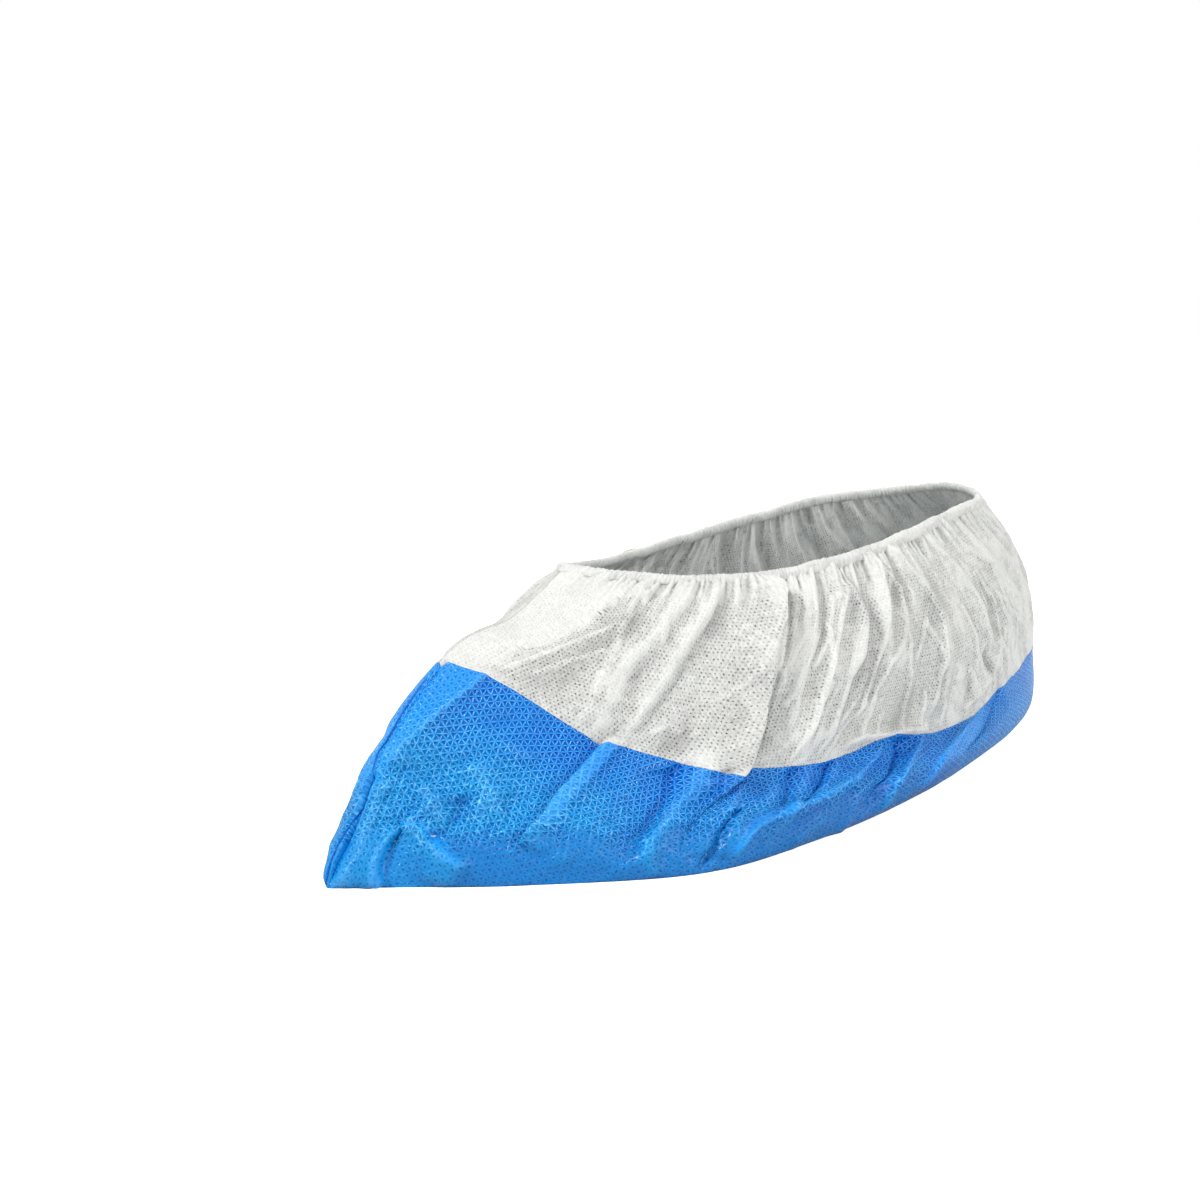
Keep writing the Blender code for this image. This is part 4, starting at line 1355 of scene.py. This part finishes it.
def white_cloth(name, bond_share, tint=(1.0, 1.0, 1.0), fades_at_hem=True):
    """Spunbond cloth; bond_share says how plainly its bond points show."""
    made, tree, shader = new_material(name)
    flat, dent_shading = flat_place(tree), measure_node(tree, "hollow")
    # where the cloth is thin, and where its hollows get painted shade
    cloudy = remap(tree, noise_node(tree, flat, 0.075, 4.0, 0.55), 0.38, 0.62)
    in_dent = remap(tree, dent_shading, -0.8, 1.2, -0.10, 1.0)
    thin_and_shaded = remap(tree, math_node(tree, "ADD", times(tree, cloudy, 0.5), in_dent), 0.0, 1.3)
    # the bond points
    place = wavering(tree, wavering(tree, flat, 0.45, 0.6), 1.4, 0.62)
    uneven = remap(tree, noise_node(tree, flat, 0.9), 0.32, 0.68, 0.08, 1.0)
    # the bond points are painted plainer in hollows, a painted shade
    shown = times(tree, bond_points(tree, place, BOND_PITCH, BOND_RADIUS), uneven,
                  between(tree, thin_and_shaded, 0.30, 1.0), bond_share)
    if fades_at_hem:
        ragged = math_node(tree, "ADD", measure_node(tree, "below_hem"), remap(
            tree, noise_node(tree, flat, 0.22), 0.3, 0.7, -4.0, 4.0))
        shown = times(tree, shown, remap(tree, ragged, 6.0, 16.0, 0.12, 1.0))
    # the fibres
    long_grain = vector_node(tree, "MULTIPLY", flat, (1.0, 0.4, 1.0))
    fibres = noise_node(tree, long_grain, 1.3, 5.0, 0.7)
    grain = remap(tree, thin_and_shaded, 0.0, 0.6, 0.50, 1.0)
    speckle = times(tree, grain, remap(tree, fibres, 0.3, 0.7, 0.25, -0.06))
    # the colour
    white, grey = ([a * b for a, b in zip(colour, tint)] for colour in (CLOTH_WHITE, BOND_GREY))
    # thin cloth, and cloth in painted shade, is painted darker
    colour = blend_colours(tree, thin_and_shaded, (*white, 1.0), (*[a * 0.90 for a in white], 1.0))
    colour = shaded(tree, colour, math_node(tree, "SUBTRACT", 0.97, speckle))
    # painted shade in the deepest hollows
    colour = shaded(tree, colour, remap(tree, dent_shading, 0.6, 2.2, 1.0, 0.74))
    colour = blend_colours(tree, shown, colour, (*grey, 1.0))
    fuzz = times(tree, fibres, grain, 0.18)
    bump = relief(tree, math_node(tree, "SUBTRACT", fuzz, times(tree, shown, 0.18)))
    fill_sockets(tree, shader, {
        "Base Color": colour, "Roughness": 0.85, "Specular IOR Level": 0.25, "Normal": bump,
        "Sheen Weight": 0.12, "Sheen Roughness": 0.6})
    glow = add_node(tree, "ShaderNodeBsdfTranslucent", {"Color": colour, "Normal": bump})
    mixed = add_node(tree, "ShaderNodeMixShader", {0: SEE_THROUGH, 1: shader, 2: glow})
    fill_sockets(tree, tree.nodes["Material Output"], {"Surface": mixed})
    return made


cloth_finish = white_cloth("spunbond_cloth", 0.95)
lining_finish = white_cloth("laminated_lining", 0.6, (0.78, 0.90, 1.0), False)
hem_finish = white_cloth("hem_cloth", 0.12, (1.02, 1.02, 1.02), False)
print("cloth nodes:", len(cloth_finish.node_tree.nodes))

# %% [markdown]
# ## Closing the sole
#
# The film's walls end in a closed ring on the floor.  The sole could be a flat cap, but it is
# the same sheet, so rungs of cloth run from side to side.  The rungs share their numbers in one
# table, whose first and last columns are the toe and heel tips.

# %% Closing the sole
SOLE_RUNGS = 8            # faces across the sole
WRINKLE_SIZE = (14, 22)   # across and along the sole, in millimetres


def sole_patch(ring, first_ring, first_rung, height, lift):
    """Rung points under a closed ring of points, and the faces that join them to it."""
    half = len(ring) // 2
    outer_edge, inner_edge = ring[1:half], ring[:half:-1]
    share = np.linspace(0, 1, SOLE_RUNGS + 1)[1:-1, None, None]
    rungs = outer_edge * (1 - share) + inner_edge * share
    wide, long = WRINKLE_SIZE
    wrinkle = np.abs(wavy_field(rungs[..., 0] / wide, rungs[..., 1] / long, 41))
    rungs[..., 2] = height + lift * wrinkle * np.sin(math.pi * share[..., 0])
    table = np.vstack([first_ring + np.arange(1, half), numbered(rungs, first_rung),
                       first_ring + len(ring) - np.arange(1, half)])
    toe, heel = np.full(SOLE_RUNGS, first_ring), np.full(SOLE_RUNGS, first_ring + half)
    tips = np.concatenate([np.stack([toe, table[:-1, 0], table[1:, 0]], axis=1),
                           np.stack([heel, table[1:, -1], table[:-1, -1]], axis=1)])
    return rungs.reshape(-1, 3), grid_corners(table), tips


print("the sole is", SOLE_RUNGS, "faces wide")

# %% [markdown]
# ## The film sole and walls
#
# On the real pouch this is one piece of laminate, blue outside and white inside.  Its walls
# are the lower rows of the cloth surface, once for the film and once, a little further in, for
# the lining.  Each has its own sole, and a narrow rim joins them at the top.
#
# Three measures go with the mesh for its finish to read: how hollow the film lies, which the
# finish paints as shade in dents and as light on crests, with painted shade added where it turns
# under and painted light at the heel; where it is smooth, and painted paler as painted light; and
# how far above the sole's fold each point is.

# %% Film piece
FILM_ROWS = 54            # rows of faces up the film's outer face
LINING_STEP = 2           # the lining has one row for this many
FILM_OUT = 0.15           # the film's outer face, outside the cloth surface
FILM_IN = 0.35            # the lining's face, inside it
SOLE_LIFT = 0.7           # height of the wrinkles inside the sole
FILM_DENT_REACH = 9       # columns on either side that a dent is measured against
UNDER_SHADE = 2.0         # painted shade where the film turns under
UNDER_REACH = (24, 12)    # between these heights above the sole's fold
UNDER_ALONG = ((12, 42), (240, 180))  # and these distances from the toe
HEEL_PAINTED_LIGHT = 0.9           # painted light on the heel's film
HEEL_ALONG = (150, 230)   # between these distances from the toe


def film_dent_shading(push, above_fold):
    """Painted shade from the film's folds, or painted light on crests, with painted shade where it
    turns under and painted light at the heel.
    """
    walked = from_toe[:-1]
    under = ramp(above_fold, *UNDER_REACH)
    for reach in UNDER_ALONG:
        under = under * ramp(walked, *reach)
    return (hollow(push, FILM_DENT_REACH) + UNDER_SHADE * under
            - HEEL_PAINTED_LIGHT * ramp(walked, *HEEL_ALONG))


def film_piece():
    above_fold = edge_climb * np.linspace(0, 1, FILM_ROWS + 1)[:, None]
    surface, push = (rows[:, :-1] for rows in cloth_surface(above_fold))
    normals = grid_normals(surface, True)
    floor_in = GROUND + FILM_OUT + FILM_IN
    outer = surface + normals * FILM_OUT
    inner = on_own_side(inset(surface, normals, LINING_STEP, FILM_IN), SIDE_CLEARANCE / 4)
    for face, height in ((outer, GROUND), (inner, floor_in)):
        face[..., 2] = np.maximum(face[..., 2], height)
        face[0, :, 2] = height
    out_numbers = numbered(outer)
    in_numbers = numbered(inner, out_numbers.size)
    first_low = out_numbers.size + in_numbers.size
    low_rungs, *low_faces = sole_patch(outer[0], 0, first_low, GROUND, 0.0)
    high_rungs, *high_faces = sole_patch(inner[0], in_numbers[0, 0], first_low + len(low_rungs),
                                         floor_in, SOLE_LIFT)
    points = np.concatenate([outer.reshape(-1, 3), inner.reshape(-1, 3), low_rungs, high_rungs])
    sides = flat_places(0 * edge_climb, edge_climb, FILM_ROWS, NET_ROWS)
    out_places, in_places = (
        np.concatenate([grid_corners(side[::step]).reshape(-1, SIDE_COLUMNS, 4, 2)
                        for side in sides], axis=1).reshape(-1, 4, 2)
        for step in (1, LINING_STEP))
    rim_places = np.concatenate([band(side[-1], side[-1]) for side in sides])
    patches = [
        (grid_corners(out_numbers, True), out_places, 0),
        (grid_corners(in_numbers, True)[:, ::-1], in_places[:, ::-1], 1),
        (band(out_numbers[-1], in_numbers[-1], True), rim_places, 0),
    ]
    soles = [(faces[:, ::-1], 0) for faces in low_faces] + [(faces, 1) for faces in high_faces]
    patches += [(faces, points[faces][..., 1::-1], finish) for faces, finish in soles]
    measures = {}
    for name, values in (("hollow", film_dent_shading(push, above_fold[:, :-1])),
                         ("smooth_lit", smooth_lit_film(above_fold)[:, :-1]),
                         ("above_fold", above_fold[:, :-1])):
        measures[name] = np.zeros(len(points))
        measures[name][:out_numbers.size] = values.ravel()
    return mesh_object("film_sole", points, patches, (film_finish, lining_finish), measures)


film = film_piece()

# %% [markdown]
# ## The bare cloth of the two sides
#
# Each side is one sheet, from just behind the film's edge up into the hem.  Its two faces are
# about a third of a millimetre apart.  The inner face needs only half the rows, because
# nothing on it changes quickly up the cloth.
#
# A table names patches of the outer side that are painted darker, a painted shade, or, if
# negative, lighter, a painted light.  The finish reads them, with the hollows of the folds, to
# show the bond points more or less.

# %% Side pieces
CLOTH_ROWS = 88           # rows of faces up the bare cloth
CLOTH_THICK = 0.28
TUCK = 1.2                # how far the cloth runs on behind the film's edge
HEM_TALL = 4.2            # height of the hem's casing
CENTRE_GAP = 0.10         # each side stops this far from the centre plane
CLOTH_DENT_REACH = 12     # columns on either side that a dent is measured against
WIDE_DENTS = 0.7          # weight of those dents
FINE_DENTS = 4.0          # and of the narrow ones, two columns wide on either side
SPOT_TALL = 0.7           # a painted spot is wide by this share of its height
CREST_LIGHT_LIMIT = -0.9            # a crest is painted no lighter than this
SHADE_SPOTS = (
    # along, level, reach in millimetres, how much painted shade or, if negative, painted light
    (0.083, 2.91, 13, 1.4), (0.098, 2.10, 9, 0.9), (0.172, 2.12, 8, 1.4), (0.164, 2.46, 15, 0.3),
    (0.183, 3.19, 8, 1.0), (0.195, 2.25, 12, 0.6), (0.232, 2.90, 12, 0.4), (0.236, 2.30, 12, 1.3),
    (0.290, 2.80, 16, -0.6), (0.405, 3.52, 10, 1.6), (0.515, 3.63, 9, 1.6), (0.579, 3.43, 12, 1.6),
    (0.412, 2.84, 12, 1.3), (0.497, 2.40, 14, 1.6), (0.574, 2.72, 14, 1.0), (0.740, 3.10, 16, 0.8),
    (0.816, 3.49, 20, -0.8), (0.010, 3.00, 42, -1.6), (0.040, 3.60, 26, -1.2),
    (0.130, 3.70, 12, -0.7), (0.060, 2.30, 19, 1.6), (0.064, 3.20, 8, 1.6), (0.097, 2.95, 7, 1.0),
    (0.227, 1.98, 7, 1.6), (0.240, 3.30, 12, 0.5), (0.232, 2.65, 15, 1.1),
    (0.242, 1.90, 6, 1.2),
)


def cloth_dent_shading(push, x, up, spots):
    """Painted shade from the cloth's folds, or painted light on its crests, and from a table of
    painted spots.
    """
    dents = WIDE_DENTS * hollow(push, CLOTH_DENT_REACH) + FINE_DENTS * hollow(push, 2)
    dents = np.maximum(dents, CREST_LIGHT_LIMIT)
    for along, level, reach, depth in spots:
        centre = on_cloth([(along, level)])[0]
        away = np.hypot(x - centre[0], (up - centre[1]) * SPOT_TALL)
        dents += depth * ease(1 - away / reach)
    return dents


def end_caps(out_numbers, in_numbers, places):
    """Five-cornered faces that close both ends, where two outer rows meet one inner row."""
    for column, flip in ((0, 1), (-1, -1)):
        rows = [out_numbers[k:][:CLOTH_ROWS - 1:2, column] for k in (0, 1, 2)]
        faces = np.stack([in_numbers[:-1, column], *rows, in_numbers[1:, column]], axis=1)
        flat = np.broadcast_to(places[:-2:2, None, column], (len(faces), 5, 2))
        yield faces[:, ::flip], flat, 0


def side_piece(name, first_column, places, spots):
    picked = slice(first_column, first_column + SIDE_COLUMNS + 1)
    distance = side_foot + (side_top - side_foot) * np.linspace(0, 1, CLOTH_ROWS + 1)[:, None]
    outer, push = (rows[:, picked] for rows in cloth_surface(distance))
    inner = inset(outer, grid_normals(outer, False), 2, CLOTH_THICK)
    side = hand[first_column + 1]
    for face in (outer, inner):
        keep_apart(face, side, CENTRE_GAP)
    out_numbers = numbered(outer)
    in_numbers = numbered(inner, out_numbers.size)
    patches = [(grid_corners(out_numbers), grid_corners(places), 0),
               (grid_corners(in_numbers)[:, ::-1], grid_corners(places[::2])[:, ::-1], 0),
               (band(in_numbers[0], out_numbers[0]), band(places[0], places[0]), 0),
               (band(out_numbers[-1], in_numbers[-1]), band(places[-1], places[-1]), 0),
               *end_caps(out_numbers, in_numbers, places)]
    points = np.concatenate([outer.reshape(-1, 3), inner.reshape(-1, 3)])
    below_hem = (hem_climb - distance)[:, picked]
    dents = cloth_dent_shading(push, from_toe[picked], distance[:, picked], spots)
    measures = {measure: np.concatenate([values.ravel(), values[::2].ravel()])
                for measure, values in (("below_hem", below_hem), ("hollow", dents))}
    return mesh_object(name, points, patches, (cloth_finish,), measures)


side_foot, side_top = edge_climb - TUCK, hem_climb - HEM_TALL * 0.5
cloth_places = flat_places(side_foot, side_top, CLOTH_ROWS, 0)
outer_side = side_piece("cloth_side_outer", 0, cloth_places[0], SHADE_SPOTS)
inner_side = side_piece("cloth_side_inner", SIDE_COLUMNS, cloth_places[1], ())

# %% [markdown]
# ## The gathered hem
#
# The cloth is turned over a thin elastic and closed.  Relaxed, the elastic puckers the casing
# into hundreds of small ribs, so it reads as a soft, slightly fuzzy cord.  A tube swept round
# the mouth with ribs of uneven height and spacing gives that.

# %% Hem piece
HEM_COLUMNS = 1700
HEM_SIDES = 14
HEM_THICK = 2.3
HEM_THINNER = 0.18        # share by which its lower edge is thinner, and its upper one thicker
HEM_WANDER = ((0.35, 9, 54), (0.40, 11, 55))  # outward and down: how far, how slowly, seed
RIB = 1.6                 # width of the casing's ribs, in millimetres
RIB_HEIGHT = 0.46


def tube_numbers(points):
    """Point numbers of a tube's lines, with the first line again after the last."""
    numbers = numbered(points)
    return np.concatenate([numbers, numbers[:1]])


def hem_ribs(places):
    """Height of the casing's ribs at places round the mouth."""
    rib_place = places / RIB + 0.5 * wavy_line(places / 5, 50)
    number = np.floor(rib_place).astype(int)
    rib_size = np.random.default_rng(51).uniform(0.35, 1.0, HEM_COLUMNS)[number]
    rib = RIB_HEIGHT * rib_size * (np.sin(math.pi * (rib_place % 1)) ** 0.7 - 0.6)
    return rib + 0.14 * wavy_line(places / 0.7, 52)


def hem_piece():
    middle_climb = np.stack([hem_climb - 0.3, hem_climb - HEM_TALL])
    rings = smooth_skin(columns, level_at(middle_climb)) + (0, 0, GROUND)
    walked = distances_along(rings[0])
    places = np.linspace(0, walked[-1], HEM_COLUMNS, endpoint=False)
    top, foot = (np.stack([np.interp(places, walked, ring[:, k]) for k in range(3)], axis=1)
                 for ring in rings)
    down = unit(foot - top)
    run = unit(np.roll(top, -1, axis=0) - np.roll(top, 1, axis=0))
    out = unit(np.cross(down, run))
    centre = (top + foot) / 2
    for way, (reach, slow, seed) in zip((out, down), HEM_WANDER):
        centre = centre + way * (reach * wavy_line(places / slow, seed))[:, None]
    rib = hem_ribs(places)
    sides = []
    for k in range(HEM_SIDES):
        angle = 2 * math.pi * k / HEM_SIDES
        c, s = math.cos(angle), math.sin(angle)
        lean = 0.16 * wavy_field(places / 1.5, np.full_like(places, k * 0.8), 53)
        thick = HEM_THICK / 2 * (1.0 - HEM_THINNER * s) + rib + lean
        tall = HEM_TALL / 2 + 0.6 * rib + lean
        sides.append(centre + out * (thick * c)[:, None] + down * (tall * s)[:, None])
    points = np.stack(sides)
    around = np.arange(HEM_SIDES + 1) * (HEM_TALL * 2 / HEM_SIDES)
    flat = np.stack(np.meshgrid(np.append(places, walked[-1]), around), axis=-1)
    patches = [(grid_corners(tube_numbers(points), True), grid_corners(flat), 0)]
    return mesh_object("gathered_hem", points.reshape(-1, 3), patches, (hem_finish,))


hem = hem_piece()

# %% [markdown]
# ## The welded ends
#
# Ultrasound welds the two sides together at toe and heel and leaves a narrow flat lip.  It
# lies in the groove between the two sides, a strip a few tenths of a millimetre thick that
# follows the pouch's centre line.

# %% Weld strips
WELD_STEPS = 70
WELD_THICK = 0.45
WELD_SUNK = 0.3           # how far its root lies inside the groove
WELD_WAVE = (0.20, 5, 61)  # its edge waves so far, over so many millimetres; seed
WELD_SHARES = (0.0, 0.4, 0.75, 1.0)  # its width has points at these shares
WELD_TAPER = 0.5          # share by which its edge is thinner than its root
WELD_ENDS = (-0.02, 0.08)  # levels from its tips between which it widens to the full width
WELDS = (
    # node, name, loop, first level, last level, width in millimetres
    ("toe_weld_cloth", "toe_seam_cloth", 0, 2.03, 3.6, 1.0),
    ("heel_weld_cloth", "heel_seam_cloth", HEEL, 2.03, 3.6, 1.0),
    ("toe_weld_film", "toe_seam_film", 0, 0.10, 1.93, 0.9),
    ("heel_weld_film", "heel_seam_film", HEEL, 0.10, 1.93, 0.9),
)


def weld_strip(name, loop, low_level, high_level, width, finish):
    levels = np.linspace(low_level, high_level, WELD_STEPS)
    column = 0 if loop == 0 else SIDE_COLUMNS
    climb_here = np.interp(levels, walk_levels, climbed[:, column])
    line = cloth_surface(climb_here[:, None] + 0 * edge_climb)[0][:, column]
    side = np.array((1.0, 0.0, 0.0))
    out = unit(np.cross(unit(np.gradient(line, axis=0)), side))
    out = out * np.sign(out[:, 1:2]) * (-1.0 if loop == 0 else 1.0)
    walked = distances_along(line)
    reach, slow, seed = WELD_WAVE
    wave = reach * wavy_line(walked / slow, seed)
    ends = ramp(levels - low_level, *WELD_ENDS) * ramp(high_level - levels, *WELD_ENDS)
    around = [(1, share) for share in WELD_SHARES] + [(-1, share) for share in WELD_SHARES[::-1]]
    points = np.stack([
        line + out * (width * share * ends - WELD_SUNK)[:, None]
        + side * (sign * WELD_THICK / 2 * (1 - WELD_TAPER * share) + wave * share)[:, None]
        for sign, share in around])
    points[..., 2] = np.maximum(points[..., 2], GROUND)
    wrapped = tube_numbers(points)
    across = np.array([width * share for _, share in around] + [0.0])
    flat = np.stack(np.meshgrid(walked, across), axis=-1)
    patches = [(grid_corners(wrapped), grid_corners(flat), 0)]
    patches += [(cap[None], np.zeros((1, len(around), 2)), 0)
                for cap in (wrapped[:-1, 0], wrapped[-2::-1, -1])]
    return mesh_object(name, points.reshape(-1, 3), patches, (finish,))


welds = {node: weld_strip(name, loop, low, high, width,
                          film_finish if "film" in node else cloth_finish)
         for node, name, loop, low, high, width in WELDS}

# %% [markdown]
# ## Tying the cloth to the imported model
#
# Each piece rides on the imported body and stands for its imported solid, which is hidden.

# %% Ride and replace
PIECES = (
    (film, "blue_film", ("sole_shell",)),
    (outer_side, "white_nonwoven", ("side_panel_outer",)),
    (inner_side, "white_nonwoven", ("side_panel_inner",)),
    (hem, "elastic_casing", ("elastic_hem",)),
    *((piece, "blue_film" if "film" in node else "white_nonwoven", (node,))
      for node, piece in welds.items()),
)
for piece, slot, nodes in PIECES:
    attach(piece, "root")
    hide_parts(*nodes)

print("pieces:", len(PIECES))

# %% [markdown]
# ## Measuring the result
#
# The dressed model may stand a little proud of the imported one, but no more than cloth does.

# %% Sizes, and the end
low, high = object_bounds()
for axis, a, b, c, d in zip("xyz", cad_low, cad_high, low, high):
    print(axis, "packed", round(a / MM, 1), round(b / MM, 1), "dressed",
          round(c / MM, 1), round(d / MM, 1))
